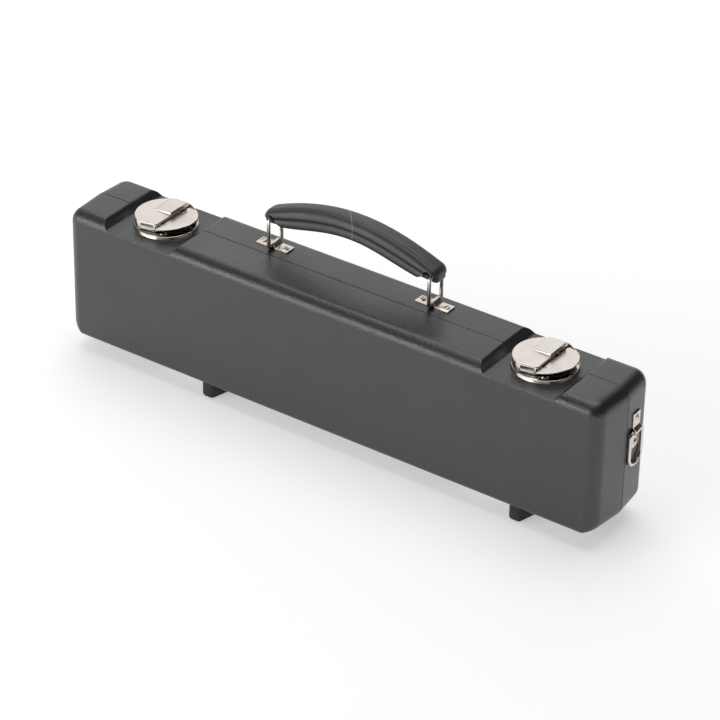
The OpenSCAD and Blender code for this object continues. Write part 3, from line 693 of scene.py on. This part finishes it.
def raised_disc(name, sizes):
    """Pressed disc with a skirt, a flat front wall and a quarter that rises to the step above the flap."""
    corner = sizes.corner / MM
    marks = [-DISC_R + d for d in (0, 0.02, 0.08, 0.2, 0.4, 0.7, 1.1, 1.8, 2.8, 3.9, 5.2)]
    marks += [-10.6 + 0.25 * i for i in range(6)] + [-14.0, -13.0, -12.0, -11.2]
    marks += list(np.linspace(-9.0, STEP_X - 1.6, 16))
    marks += [STEP_X - d for d in (1.3, 1.05, 0.8, 0.6, 0.5, 0.45, 0.38, 0.3, 0.24, 0.18, 0.13, 0.08, 0.02, 0)]
    marks = sorted(set(round(m, 4) for m in marks))
    flat = [0, 0.1, 0.18, 0.28, 0.4, 0.52, 0.64, 0.75, 0.84, 0.9, 0.94, 0.965, 0.98, 0.99, 0.997, 1]
    raised = [0.0015, 0.005, 0.01, 0.016, 0.023, 0.03, 0.04, 0.08, 0.2, 0.4, 0.6, 0.8, 0.93]
    raised += [0.975, 0.985, 0.992, 0.997, 1]
    rim = [0.01, 0.2, 0.4, 0.6, 0.67, 0.74, 0.8, 0.86, 0.91, 0.95, 0.98, 1]
    points, faces, rows = [], [], []
    for x in marks:
        start, rise_rear = rise_edges(x)
        low_edge, back = cap_edge(x, corner), half_width(DISC_R, x)
        row = [(start - (low_edge + start) * share, "flat") for share in reversed(flat)]
        row += [(start + (rise_rear - start) * share, "raised") for share in raised]
        row += [(rise_rear + (back - rise_rear) * share, "rim") for share in rim]
        rows.append(range(len(points), len(points) + len(row)))
        points += [mm(x, y, cap_top(x, y, sizes, part)) for y, part in row]
    last, n = len(marks) - 1, len(rows[0]) - 1
    for i in range(last):
        for j in range(n):
            faces.append([rows[i][j], rows[i + 1][j], rows[i + 1][j + 1], rows[i][j + 1]])
    edge = [rows[i][0] for i in range(last)] + list(rows[last]) + [rows[i][n] for i in range(last - 1, -1, -1)]
    edge += [rows[0][j] for j in range(n - 1, 0, -1)]
    feet = range(len(points), len(points) + len(edge))
    for k in edge:
        x, y = points[k].x, points[k].y
        draft = WALL_DRAFT * MM * smooth(DISC_R - hypot(x, y) / MM) if y < 0 else 0.0
        points.append(Vector((x, y - draft, SKIRT_LOW * MM)))
    for k in range(len(edge)):
        q = (k + 1) % len(edge)
        faces.append([edge[k], feet[k], feet[q], edge[q]])
    piece = mesh_object(name, points, faces)
    tidy_mesh(piece)
    modify(piece, "SOLIDIFY", thickness=0.7 * MM, offset=-1.0)
    settle(piece)
    lean = Matrix.Rotation(-atan(WALL_DRAFT / (DISC_H - SKIRT_LOW)), 4, "X")
    slant = Matrix.Rotation(atan(WALL_LEAN), 4, "Z")
    panel = block("panel", (-11.5, -1.0, -4.8), (-2.2, 0.28, -1.3), 0.12)
    cut(piece, moved(panel, Matrix.Translation(mm(STEP_X, -CHORD_Y, DISC_H)) @ (slant @ lean)))
    return piece


def rim_tail(name):
    """Thin end of the round edge, which runs on behind the corner of the flap."""
    start, rings = degrees(acos(STEP_X / DISC_R)), []
    high, inner = DISC_H - 0.25, DISC_R - 0.75
    for i in range(17):
        share = i / 16
        a = radians(start + 0.6 + (TAIL_END - start) * share)
        top = high - (DISC_H - FLAP_TOP - FLAP_RISE * 0.5) * smooth(share)
        ring = [(inner, SKIRT_LOW), (DISC_R, SKIRT_LOW), (DISC_R, top - 0.2)]
        ring += [(DISC_R - 0.2, top), (inner + 0.1, top), (inner, top - 0.1)]
        rings.append([mm(r * cos(a), r * sin(a), z) for r, z in ring])
    return loft(name, rings)


def disc_piece(name, side, sizes):
    """The raised disc with its hub and the ears that hold the flap pin."""
    hub = [(2.1, 3.75), (3.5, 3.75), (3.8, 4.0), (3.8, 5.4), (3.5, 5.6), (2.1, 5.6)]
    parts = [raised_disc("cap", sizes), rim_tail("tail"), turned("hub", hub, 48)]
    for y in (-EAR_Y, EAR_Y):
        low = (STEP_X - 0.6, y - EAR_W / 2, FLAP_Z - EAR_R)
        arm = block("ear_arm", low, (FLAP_X, y + EAR_W / 2, FLAP_Z), 0.15)
        for form in (rod("ear", "y", (FLAP_X, y, FLAP_Z), EAR_R, EAR_W), arm):
            cut(form, rod("bore", "y", (FLAP_X, y, FLAP_Z), EAR_BORE, 4.0))
            parts.append(form)
    return moved(join(name, parts), at_latch(side))


def flap_sheet(name, sizes):
    """Half-round sheet with a rolled edge, which starts close to the step of the disc."""
    lip = sizes.lip / MM
    marks = [-19.2 + 38.4 * i / 50 for i in range(51)] + [-19.35, -19.3, -19.25, 19.3, 19.4, 19.5]
    shares = [0, 0.006, 0.015, 0.03, 0.06, 0.15, 0.3, 0.5, 0.7, 0.83, 0.91, 0.95, 0.97, 0.982, 0.992, 1]
    rings = []
    for y in sorted(set(round(m, 3) for m in marks)):
        outer = DISC_R - 0.95 * smooth(y - 16.6) - 1.3 * smooth(-y / 9.0)
        x0 = STEP_X + FLAP_GAP + max(abs(y) - 18.8, 0.0) * 1.2
        x1 = max(half_width(outer, y), x0 + 0.05)
        upper, lower = [], []
        for share in shares:
            x = x0 + (x1 - x0) * share
            drop_by = fall(lip, max(min(outer - hypot(x, y), x - x0), 0.0))
            top = FLAP_TOP + FLAP_RISE * (x - STEP_X) / (DISC_R - STEP_X)
            upper.append(mm(x, y, top - drop_by))
            lower.append(mm(x, y, top - FLAP_T + drop_by))
        rings.append(upper + lower[::-1])
    return loft(name, rings)


def flap_piece(name, side, sizes):
    """The flap: its sheet, open over the ears, and the barrel rolled round the pin."""
    pin = (FLAP_X, 0.0, FLAP_Z)
    sheet = flap_sheet("sheet", sizes)
    cut(sheet, rod("bore", "y", pin, FLAP_BORE, 24.4))
    for y in (-EAR_Y, EAR_Y):
        low, high = (STEP_X - 1, y - NOTCH_W / 2, FLAP_Z - 2), (FLAP_X + 1.05, y + NOTCH_W / 2, FLAP_TOP + 2)
        cut(sheet, block("notch", low, high))
    barrel = rod("barrel", "y", pin, BARREL_R, BARREL_L)
    cut(barrel, block("level", (FLAP_X - 2, -10, FLAP_TOP - 0.1), (FLAP_X + 2, 10, FLAP_TOP + 2)))
    cut(barrel, rod("bore", "y", pin, FLAP_BORE, 20.0))
    return moved(join(name, [sheet, barrel]), at_latch(side))


def dish_profile():
    """Floor and rolled rim of the dish, as (radius, height)."""
    inner, bead_r = DISH_R - RIM_T, 0.55
    outer = [(0.1, 0.0), (0.0, 0.2), (0.12, 0.55), (0.3, 1.05), (0.42, 1.35)]
    profile = [(5.6, 0.0)] + [(DISH_R - d, z) for d, z in outer]
    for a in np.radians(np.arange(15, 91, 15)):
        profile.append((DISH_R - 0.98 + bead_r * cos(a), RIM_H - bead_r + bead_r * sin(a)))
    profile += [(inner + 0.02, RIM_H - 0.12), (inner, RIM_H - 0.4), (inner, DISH_T + 0.15)]
    return profile + [(inner - 0.15, DISH_T), (5.6, DISH_T)]


def dish_shelf():
    """Raised part of the front dish, between the front wall of the disc and the rim."""
    r, y0 = DISH_R - RIM_T + 0.02, CHORD_Y + 0.2
    turn = acos(y0 / r)
    arc = [-pi / 2 - turn + 2 * turn * i / 40 for i in range(41)]
    rings = []
    for inset, z in ((0.0, 0.5), (0.0, 1.45), (0.1, 1.66), (0.3, 1.74)):
        flat = -y0 - inset
        rings.append([mm((r - inset) * cos(a), min((r - inset) * sin(a), flat), z) for a in arc])
    return loft("shelf", rings)


def dish_piece(name, side, rear):
    """Rear half of the dish with the boss of the pivot, or front half with its shelf."""
    half = turned("dish", dish_profile(), 80, *((0.4, 179.6) if rear else (180.4, 359.6)))
    boss = [(2.05, 0.3), (5.0, 0.3), (5.2, 0.5), (5.2, 2.0), (5.0, 2.2), (2.05, 2.2)]
    inside = turned("boss", boss, 48) if rear else dish_shelf()
    return moved(join(name, [half, inside]), at_latch(side))


class FLUTE_OT_latches(Operator):
    """Make the raised discs, flaps and dishes of both latches"""

    bl_idname = "flute.latches"
    bl_label = "Latches"
    bl_options = {"REGISTER", "UNDO"}

    def execute(self, context):
        sizes = context.scene.flute_latch
        satin = nickel("nickel_satin", sizes.top_colour, (0.26, 0.38), 0.000010)
        polished = nickel("nickel_polished", sizes.wall_colour, (0.10, 0.20))
        for side, word in SIDES:
            disc = disc_piece("raised_disc_" + word, side, sizes)
            flap = flap_piece("fold_flap_" + word, side, sizes)
            for piece, body, node in ((disc, "latch_", "latch_disc_"), (flap, "flap_", "latch_flap_")):
                finish_piece(piece, body + word, polished, [node + word], 28.0)
                piece.data.materials.append(satin)
                for face in piece.data.polygons:
                    if face.normal.z > 0.9:
                        face.material_index = 1
            rear = dish_piece("rear_dish_" + word, side, True)
            finish_piece(rear, "base", polished, ["latch_base_" + word])
            front = dish_piece("front_dish_" + word, side, False)
            finish_piece(front, "lid", polished, ["latch_keeper_" + word])
            for node in ("latch_hook_", "flap_pin_", "latch_pivot_"):
                set_finish(node + word, polished)
        for node in ("keeper_studs", "latch_rivets"):
            set_finish(node, polished)
        return {"FINISHED"}


def set_finish(node, finish):
    """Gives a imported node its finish."""
    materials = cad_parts[node].data.materials
    materials.clear()
    materials.append(finish)

# Handle and strap rings, in millimetres

HANDLE_X = -5.0
HANDLE_Y = 12.0
SADDLE_SPAN = 126.0
SADDLE_L = 25.0
SADDLE_W = 9.0
SCREW_SPAN = 18.4
SCREW_R = 2.1
SCREW_H = 1.0
STRAP_Y = 11.0
STRAP_Z = 62.0
RING_R = 1.1
RING_W = 16.0
RING_H = 25.0
BAIL_R = 1.3
BAIL_H = 22.0
BAIL_W = 14.4
# Gap under a bar in its saddle, radius of the upper bends of a bail, half width of the core between the pockets
BAR_GAP = 0.2
BAIL_BEND = 4.8
BAIL_CORE = 3.8
GRIP_L = 136.0
GRIP_W = 17.0
GRIP_H = 14.8
GRIP_FALL = 16.6
GRIP_ARCH = 10.6
BAR_Z = CASE_H + BAIL_R + BAR_GAP + BAIL_H
GRIP_LOW = BAR_Z - 5.0
# Half outline of the grip from below to its crest, as shares of its half width and height
GRIP_SHARES = [
    (0.4, 0), (0.72, 0.012), (0.89, 0.06), (0.955, 0.15), (0.96, 0.26), (0.915, 0.35), (0.895, 0.42), (0.93, 0.49),
    (0.985, 0.545), (1, 0.61), (0.97, 0.69), (0.91, 0.78), (0.8, 0.86), (0.68, 0.915), (0.58, 0.942),
    (0.53, 0.942), (0.48, 0.97), (0.25, 0.993),
]


def grip_outline(steps=4):
    """Smooth closed outline of the grip through its share points."""
    base = GRIP_SHARES + [(0, 1)] + [(-a, b) for a, b in reversed(GRIP_SHARES)]
    n, fine = len(base), []
    for i in range(n):
        p, q, r, s = (np.array(base[(i + k) % n], float) for k in (-1, 0, 1, 2))
        for t in (step / steps for step in range(steps)):
            if i == n - 1:
                fine.append(q + (r - q) * t)
            else:
                bend, twist = 2 * p - 5 * q + 4 * r - s, 3 * q - p - 3 * r + s
                fine.append(0.5 * (2 * q + (r - p) * t + bend * t * t + twist * t**3))
    return fine


def grip_form():
    """The arched grip with its thin crest line, its ribs and the grooves under them."""
    outline = grip_outline()
    half = GRIP_L / 2
    rings = []
    for x in (half * sin(pi / 2 * i / 60) for i in range(-60, 61)):
        left = half - abs(x)
        blunt, round_off = (sqrt(max(1 - (max(r - left, 0.0) / r) ** 2, 0.0)) for r in (3.3, 5.2))
        low = GRIP_LOW + GRIP_ARCH * (1 + cos(pi * x / half)) / 2
        top = GRIP_LOW + GRIP_ARCH + GRIP_H - GRIP_FALL * (x / half) ** 2
        middle, h = (top + low) / 2, (top - low) * (0.42 + 0.58 * blunt)
        w = GRIP_W / 2 * (0.35 + 0.65 * round_off)
        rings.append([seam_point(HANDLE_X + x, HANDLE_Y - w * a, middle + h * (b - 0.5)) for a, b in outline])
    return loft("grip_form", rings)


def bar_seat(side):
    """Bore of a bail bar, and the pockets beside it that leave room for the legs of the bail to swing."""
    x, y, z = HANDLE_X + side * SADDLE_SPAN / 2, HANDLE_Y + SEAM_Y, BAR_Z + SEAM_Z
    forms = [rod("bore", "y", (x, y, z), BAIL_R + 0.06, GRIP_W + 2)]
    swing, room, reach = radians(63.0), BAIL_R + 0.45, 18
    fan = [(room * sin(a), room * cos(a)) for a in np.linspace(0.0, pi / 2 - swing, 6)]
    fan.append((fan[-1][0] + reach * sin(swing), fan[-1][1] - reach * cos(swing)))
    fan.append((fan[-1][0], -14.0))
    outline = fan + [(-a, b) for a, b in reversed(fan[1:])]
    for s, _ in SIDES:
        forms.append(rod("flare", "y", (x, y + s * 4.0, z), BAIL_R + 0.5, 3.4))
        ends = sorted((s * BAIL_CORE, s * GRIP_W))
        forms.append(loft("pocket", [[mm(x + a, y + end, z + b) for a, b in outline] for end in ends]))
        hole = (x - side * 1.9, y + s * (BAIL_CORE - 0.6 + GRIP_W / 2), z + 0.6)
        forms.append(rod("hole", "y", hole, 2.9, GRIP_W))
    return forms


def loop_path(width, height, low_r, top_r, steps=12):
    """Path of a rounded wire loop as (across, up), with its lower bar at height zero."""
    path = []
    for quarter, (sx, sy) in enumerate(((1, 1), (-1, 1), (-1, -1), (1, -1))):
        cx, cy, r = sx * width / 2, height if sy > 0 else 0, top_r if sy > 0 else low_r
        for i in range(steps + 1):
            a = radians(90 * quarter + 90 * i / steps)
            path.append((cx - sx * r + r * cos(a), cy - sy * r + r * sin(a)))
    return path


def cross_screw(name, slot):
    """Domed screw head with a cross recess, standing on z = 0."""
    profile = [(0.0, -0.6), (SCREW_R * 0.96, -0.6), (SCREW_R, 0.0)]
    for a in map(radians, (12, 25, 38, 52, 66, 80)):
        profile.append((SCREW_R * cos(a) ** 0.8, SCREW_H * sin(a) ** 0.9))
    head = turned(name, profile + [(0.0, SCREW_H)], 36)
    tidy_mesh(head)
    reach = SCREW_R * 0.62
    for w, h in ((reach, slot / 2), (slot / 2, reach)):
        cut(head, block("slot", (-w, -h, SCREW_H * 0.35), (w, h, SCREW_H + 1)))
    return head


def saddle_form(name, bar_r, thick):
    """Pressed strap with a folded hump over the wire, standing on z = 0 along X."""
    lift = bar_r + BAR_GAP
    top = lift + bar_r + 0.06
    run = bar_r + 0.15
    half, foot = SADDLE_L / 2, run + top * 0.55
    outer = [(-half, 0.0), (-half, thick), (-foot - 0.5, thick), (-foot - 0.2, thick + 0.12)]
    outer += [(-run - 0.15, top + thick * 0.5), (-run * 0.5, top + thick)]
    inner = [(-foot + 0.15, 0.0), (-run, lift * 0.9), (-run * 0.92, top - 0.35), (-run * 0.45, top)]
    profile = outer + [(-x, z) for x, z in reversed(outer)] + [(-x, z) for x, z in inner] + inner[::-1]
    piece = loft(name, [[mm(x, y, z) for x, z in profile] for y in (-SADDLE_W / 2, SADDLE_W / 2)])
    tidy_mesh(piece)
    modify(piece, "BEVEL", width=0.16 * MM, segments=2, limit_method="ANGLE", angle_limit=radians(25))
    settle(piece)
    return piece


def at_strap(side):
    """Matrix that puts a strap saddle on the end face, with its length upright."""
    turn = Matrix.Rotation(DRAFT, 4, "Z") @ Matrix.Translation(mm(0, STRAP_Y, 0))
    matrix = Matrix.Translation(seam_point(CASE_L / 2, 0.0, STRAP_Z)) @ (turn @ Matrix.Rotation(pi / 2, 4, "Y"))
    return Matrix.Scale(-1, 4, (1, 0, 0)) @ matrix if side < 0 else matrix


def put_screws(name, places, slot):
    """Two screws on each saddle."""
    parts = []
    for matrix in places:
        for s, _ in SIDES:
            turn = Matrix.Rotation(radians(25 + 40 * len(parts)), 4, "Z")
            place = matrix @ Matrix.Translation(mm(s * SCREW_SPAN / 2, 0, 1.0)) @ turn
            parts.append(moved(cross_screw("head", slot), place))
    return join(name, parts)


def held_wires(names, nodes, body, radius, loop, places, sizes):
    """Wires on both sides, the saddles that hold them and the screws. The loop is in the frame of a saddle."""
    wire_finish, warm = bpy.data.materials["nickel_wire"], bpy.data.materials["nickel_warm"]
    for (_, word), matrix in zip(SIDES, places):
        piece = wire(names[0] + word, [matrix @ point for point in loop], radius)
        finish_piece(piece, body + word, wire_finish, [nodes[0] + word])
        saddle = moved(saddle_form(names[1] + word, radius, sizes.strap_t / MM), matrix)
        finish_piece(saddle, "base", warm, [nodes[1] + word])
    finish_piece(put_screws(names[2], places, sizes.cross / MM), "base", warm, [nodes[2]])


class FLUTE_OT_handle(Operator):
    """Make the grip, the bails, their saddles and the screws"""

    bl_idname = "flute.handle"
    bl_label = "Handle"
    bl_options = {"REGISTER", "UNDO"}

    def execute(self, context):
        sizes = context.scene.flute_handle
        line = ((HANDLE_X - 3.5) * MM, (HANDLE_Y + SEAM_Y) * MM, 0.87, sizes.flash), sizes.flash_colour
        tones = sizes.colour, scaled_tone(sizes.colour, 1.3)
        soft_grip = moulded_plastic("soft_grip", *tones, 0.0009, 0.0001, 0.0004, (0.42, 0.52), line)
        nickel("nickel_wire", context.scene.flute_latch.wall_colour, (0.2, 0.32))
        nickel("nickel_warm", sizes.warm_colour, (0.16, 0.3))
        grip = grip_form()
        grip.name = "arched_grip"
        cut(grip, *(form for side, _ in SIDES for form in bar_seat(side)))
        finish_piece(grip, "grip", soft_grip, ["handle_grip"], 42.0)
        middles = [seam_point(HANDLE_X + side * SADDLE_SPAN / 2, HANDLE_Y, CASE_H) for side, _ in SIDES]
        path = loop_path(BAIL_W, BAIL_H, BAIL_W * 0.14, BAIL_BEND)
        held_wires(
            ("wire_bail_", "bail_saddle_", "bail_screws"), ("bail_", "handle_saddle_", "handle_screws"), "bail_",
            BAIL_R, [mm(0, a, BAIL_R + BAR_GAP + b) for a, b in path], list(map(Matrix.Translation, middles)), sizes,
        )
        return {"FINISHED"}


class FLUTE_OT_strap_rings(Operator):
    """Make the strap rings at both ends, their saddles and the screws"""

    bl_idname = "flute.strap_rings"
    bl_label = "Strap Rings"
    bl_options = {"REGISTER", "UNDO"}

    def execute(self, context):
        path = loop_path(RING_W, RING_H, RING_W * 0.2, RING_W * 0.45)
        held_wires(
            ("strap_loop_", "strap_plate_", "strap_plate_screws"), ("strap_ring_", "strap_saddle_", "strap_screws"),
            "ring_", RING_R, [mm(b, a, RING_R + BAR_GAP) for a, b in path], [at_strap(side) for side, _ in SIDES],
            context.scene.flute_handle,
        )
        return {"FINISHED"}


def foot_form(x, depth, facing):
    """Rounded foot that spreads towards the seam, let into the wall of one shell."""
    low, high = sorted((facing * (depth - FOOT_INSET - FOOT_L), facing * (depth - FOOT_INSET)))
    form = block("foot", (x - 6.8, SEAM_Y + low, 0.0), (x + 2.2, SEAM_Y + high, SEAM_Z + 8.0), 2.7, 5)
    for v in form.data.vertices:
        if v.co.x > (x - 2.3) * MM:
            share = (facing * (v.co.y / MM - SEAM_Y) - depth + FOOT_INSET + FOOT_L) / FOOT_L
            v.co.x += FOOT_FLARE * MM * (1 - share)
    cut(form, block("top", (x - 9, SEAM_Y + low - 3, SEAM_Z + 2.4), (x + 9, SEAM_Y + high + 3, SEAM_Z + 9)))
    return form


class FLUTE_OT_hinges_feet(Operator):
    """Give the hinges and their rivets their finish, and make the feet"""

    bl_idname = "flute.hinges_feet"
    bl_label = "Hinges and Feet"
    bl_options = {"REGISTER", "UNDO"}

    def execute(self, context):
        steel = nickel("hinge_nickel", (0.60, 0.60, 0.60, 1.0), (0.25, 0.4), 0.00001, 0.0002)
        dark = rubber("foot_rubber", (0.020, 0.020, 0.021, 1.0))
        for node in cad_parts:
            if node.startswith("hinge_"):
                set_finish(node, steel)
        for word, body, depth, facing in (("rear", "base", BASE_DEPTH, 1), ("front", "lid", LID_DEPTH, -1)):
            pair = join(f"rounded_feet_{word}", [foot_form(x, depth, facing) for x in FOOT_X])
            finish_piece(pair, body, dark, [f"{word}_feet"])
        return {"FINISHED"}


# Lining, in millimetres

TROUGH_R = 9.0
# Height of the body recess and of the row with head and foot joint, their lengths and places along the case
BODY_Z, ROW_Z = 65.09, 26.9
BODY_L = 356.0
HEAD_X, HEAD_L = -72.0, 226.0
TAIL_X, TAIL_L = 116.0, 138.0


def trough(x, z, long, wide, deep=21.0):
    """Round-bottomed trough along X, open towards the seam, as one closed form."""
    y0, half, straight, r = -2.0, wide / 2, 1.0 + deep - TROUGH_R, TROUGH_R
    outline = [(-half, y0), (-half, straight)]
    for a in np.radians(np.arange(10, 91, 10)):
        outline.append((-half + r - r * cos(a), straight + r * sin(a)))
    for a in np.radians(np.arange(0, 81, 10)):
        outline.append((half - r + r * sin(a), straight + r * cos(a)))
    outline += [(half, straight), (half, y0)]
    return loft("trough", [[seam_point(x + s * long / 2, b, z + a) for a, b in outline] for s in (-1, 1)])


def filling(depth, facing, start, inset):
    """Form that fills a shell from a distance to the seam on, with the recesses cut out."""
    form = case_form(depth, facing, inset, start, steps=10)
    cut_recesses(form, facing, inset)
    return form


def plush_skin(piece, voxel, rounds):
    """Rebuilds a form in small cells and relaxes it, so that its edges turn as soft as cloth."""
    modify(piece, "REMESH", mode="VOXEL", voxel_size=voxel)
    modify(piece, "SMOOTH", factor=0.5, iterations=rounds)
    settle(piece)


def swell(piece, pressure, most, frames=20):
    """Swells a closed pad by cloth simulation, and caps how far a point may move."""
    rest = np.array([v.co for v in piece.data.vertices], float)
    cloth = modify(piece, "CLOTH").settings
    cloth.quality = 5
    cloth.use_pressure = True
    cloth.uniform_pressure_force = pressure
    cloth.effector_weights.gravity = 0.0
    cloth.mass = 0.3
    for number in range(1, frames + 1):
        bpy.context.scene.frame_set(number)
    graph = bpy.context.evaluated_depsgraph_get()
    made = piece.evaluated_get(graph).to_mesh()
    moved = np.array([v.co for v in made.vertices], float)
    piece.evaluated_get(graph).to_mesh_clear()
    piece.modifiers.clear()
    shift = moved - rest
    size = np.linalg.norm(shift, axis=1)
    shift *= np.minimum(1.0, most / np.maximum(size, 1e-9))[:, None]
    piece.data.vertices.foreach_set("co", (rest + shift).ravel())
    piece.data.update()
    bpy.context.scene.frame_set(1)


class FLUTE_OT_lining(Operator):
    """Make the plush insert of the base and the plush pad of the lid"""

    bl_idname = "flute.lining"
    bl_label = "Lining"
    bl_options = {"REGISTER", "UNDO"}

    def execute(self, context):
        sizes = context.scene.flute_lining
        soft = plush("plush", sizes.colour, sizes.light_colour, sizes.pile)
        insert = filling(BASE_DEPTH, 1, 1.3, WALL + 2.3)
        insert.name = "plush_insert"
        cut(insert, trough(0.0, BODY_Z, BODY_L, 33.0), trough(HEAD_X, ROW_Z, HEAD_L, 28.0))
        cut(insert, trough(TAIL_X, ROW_Z, TAIL_L, 31.0))
        for share in (-0.25, 0.25):
            middle = (share * BODY_L, SEAM_Y + 1.0, SEAM_Z + (BODY_Z + ROW_Z) / 2)
            cut(insert, rod("scoop", "z", middle, 13.0, BODY_Z - ROW_Z, 64))
        plush_skin(insert, sizes.voxel, 3)
        finish_piece(insert, "base", soft, ["base_insert"], 180.0)

        pad = filling(LID_DEPTH, -1, LID_DEPTH - WALL - 10.4, WALL + 1.3)
        pad.name = "plush_pad"
        plush_skin(pad, 4.5 * MM, 1)
        swell(pad, 4.0, 3.0 * MM)
        modify(pad, "SUBSURF", levels=1)
        settle(pad)
        finish_piece(pad, "lid", soft, ["lid_lining"], 180.0)
        return {"FINISHED"}


# Stage

# Name, place as shares of the lamp distance, power and size of each lamp, and the point that they light
LAMPS = (
    ("rear_softbox", (-0.58, 0.85, 0.64), 4.9, (1.75, 1.1)),
    ("top_softbox", (-0.12, 0.3, 1.7), 26.5, (2.2, 2.2)),
    ("front_strip", (-0.66, -1.1, 0.4), 15.0, (2.0, 0.8)),
)
MIDDLE = (0.0, 0.0, 0.06)


def area_lamp(name, place, power, size):
    """A soft lamp that isn't seen itself."""
    lamp = bpy.data.lights.new(name, "AREA")
    lamp.energy = power
    lamp.shape = "RECTANGLE"
    lamp.size, lamp.size_y = size
    thing = new_object(name, lamp)
    thing.visible_camera = False
    thing.location = place
    thing.rotation_mode = "QUATERNION"
    thing.rotation_quaternion = (Vector(MIDDLE) - Vector(place)).to_track_quat("-Z", "Y")


def empty_tree(owner):
    """The node tree of a material or world, cleared."""
    owner.use_nodes = True
    owner.node_tree.nodes.clear()
    return owner.node_tree


def seen_directly(tree):
    """1 for rays from the camera, for reflections and for what is seen through clear pieces."""
    path = add_node(tree, "ShaderNodeLightPath").outputs
    total = path["Is Camera Ray"]
    for word in ("Is Glossy Ray", "Is Transmission Ray"):
        total = add_node(tree, "ShaderNodeMath", {0: total, 1: path[word]}, operation="MAXIMUM").outputs[0]
    return total


def floor_finish(colour, glow_strength):
    """Pale floor that shows white with its shadows, and lights the case no more than a pale floor does."""
    material = bpy.data.materials.new("studio_floor")
    tree = empty_tree(material)
    plain = add_node(tree, "ShaderNodeBsdfDiffuse", {"Color": colour}).outputs[0]
    glow = add_node(tree, "ShaderNodeEmission", {"Color": WHITE, "Strength": glow_strength}).outputs[0]
    both = add_node(tree, "ShaderNodeAddShader", {0: plain, 1: glow}).outputs[0]
    mix = add_node(tree, "ShaderNodeMixShader", {0: seen_directly(tree), 1: plain, 2: both})
    add_node(tree, "ShaderNodeOutputMaterial", {"Surface": mix.outputs[0]})
    return material


def studio_world():
    """Room that is pale at floor height, less so on the right, and darker above, for metal to mirror."""
    world = bpy.context.scene.world or bpy.data.worlds.new("studio")
    bpy.context.scene.world = world
    tree = empty_tree(world)
    where = add_node(tree, "ShaderNodeTexCoord").outputs["Generated"]
    split = add_node(tree, "ShaderNodeSeparateXYZ", {0: where}).outputs
    levels = {}
    for name, axis, low, high, start, end in (
        ("Factor", "Z", 0.0, 1.0, 0.02, 0.2), ("A", "X", 0.95, 0.4, -0.1, 0.4), ("B", "X", 0.27, 0.05, -0.3, 0.3),
    ):
        levels[name] = map_range(tree, split[axis], low, high, start, end, "SMOOTHSTEP")
    strength = add_node(tree, "ShaderNodeMix", levels).outputs["Result"]
    room = add_node(tree, "ShaderNodeBackground", {"Color": WHITE, "Strength": strength})
    add_node(tree, "ShaderNodeOutputWorld", {"Surface": room.outputs[0]})


def photo_camera():
    """Camera solved from the photograph's edges: place, turn and focal length."""
    turn, tilt, roll = (radians(v) for v in (34.35, 31.86, 1.23))
    look = Matrix.Rotation(turn, 4, "Z") @ Matrix.Rotation(pi / 2 - tilt, 4, "X")
    stand_off = Matrix.Translation(mm(7.8, -12.8, 2091)) @ Matrix.Rotation(roll, 4, "Z")
    data = bpy.data.cameras.new("photo_camera")
    data.sensor_fit = "HORIZONTAL"
    data.sensor_width = 36.0
    focal_pixels, picture_pixels = 3219, 720
    data.lens = focal_pixels * data.sensor_width / picture_pixels
    data.clip_start, data.clip_end = 0.05, 60.0
    camera = new_object("photo_camera", data)
    camera.matrix_world = Matrix.Translation(seam_point(0.0, 0.0, 55.0)) @ (look @ stand_off)
    bpy.context.scene.camera = camera


class FLUTE_OT_stage(Operator):
    """Make the floor, the lamps, the world and the camera"""

    bl_idname = "flute.stage"
    bl_label = "Stage"
    bl_options = {"REGISTER", "UNDO"}

    def execute(self, context):
        settings = context.scene.flute_stage
        floor = mesh_object("studio_ground", [(-8, -8, 0), (8, -8, 0), (8, 8, 0), (-8, 8, 0)], [(0, 1, 2, 3)])
        floor.data.materials.append(floor_finish(settings.floor, 0.43))
        for name, place, power, size in LAMPS:
            area_lamp(name, [v * settings.lamp_distance for v in place], power, size)
        studio_world()
        photo_camera()
        context.scene.view_settings.view_transform = "Standard"
        return {"FINISHED"}


# Panel and registration
OPERATORS = [
    FLUTE_OT_stage, FLUTE_OT_shells, FLUTE_OT_latches, FLUTE_OT_handle, FLUTE_OT_strap_rings,
    FLUTE_OT_hinges_feet, FLUTE_OT_lining,
]


class FLUTE_PT_panel(Panel):
    """Sizes, colours and pieces of the flute case"""

    bl_idname = "FLUTE_PT_panel"
    bl_label = "Flute Case"
    bl_space_type = "VIEW_3D"
    bl_region_type = "UI"
    bl_category = "Flute Case"

    def draw(self, context):
        for operator in OPERATORS:
            self.layout.operator(operator.bl_idname)
        for name, group in GROUPS.items():
            box = self.layout.box()
            settings = getattr(context.scene, name)
            for prop in group.__annotations__:
                box.prop(settings, prop)


CLASSES = [*GROUPS.values(), *OPERATORS, FLUTE_PT_panel]


def register():
    for kind in CLASSES:
        bpy.utils.register_class(kind)
    for name, group in GROUPS.items():
        setattr(bpy.types.Scene, name, PointerProperty(type=group))


def unregister():
    for name in GROUPS:
        delattr(bpy.types.Scene, name)
    for kind in reversed(CLASSES):
        bpy.utils.unregister_class(kind)


def main():
    register()
    bpy.ops.flute.stage()
    bpy.ops.flute.shells()
    bpy.ops.flute.latches()
    bpy.ops.flute.handle()
    bpy.ops.flute.strap_rings()
    bpy.ops.flute.hinges_feet()
    bpy.ops.flute.lining()
    bpy.context.view_layer.update()


if __name__ == "__main__":
    main()
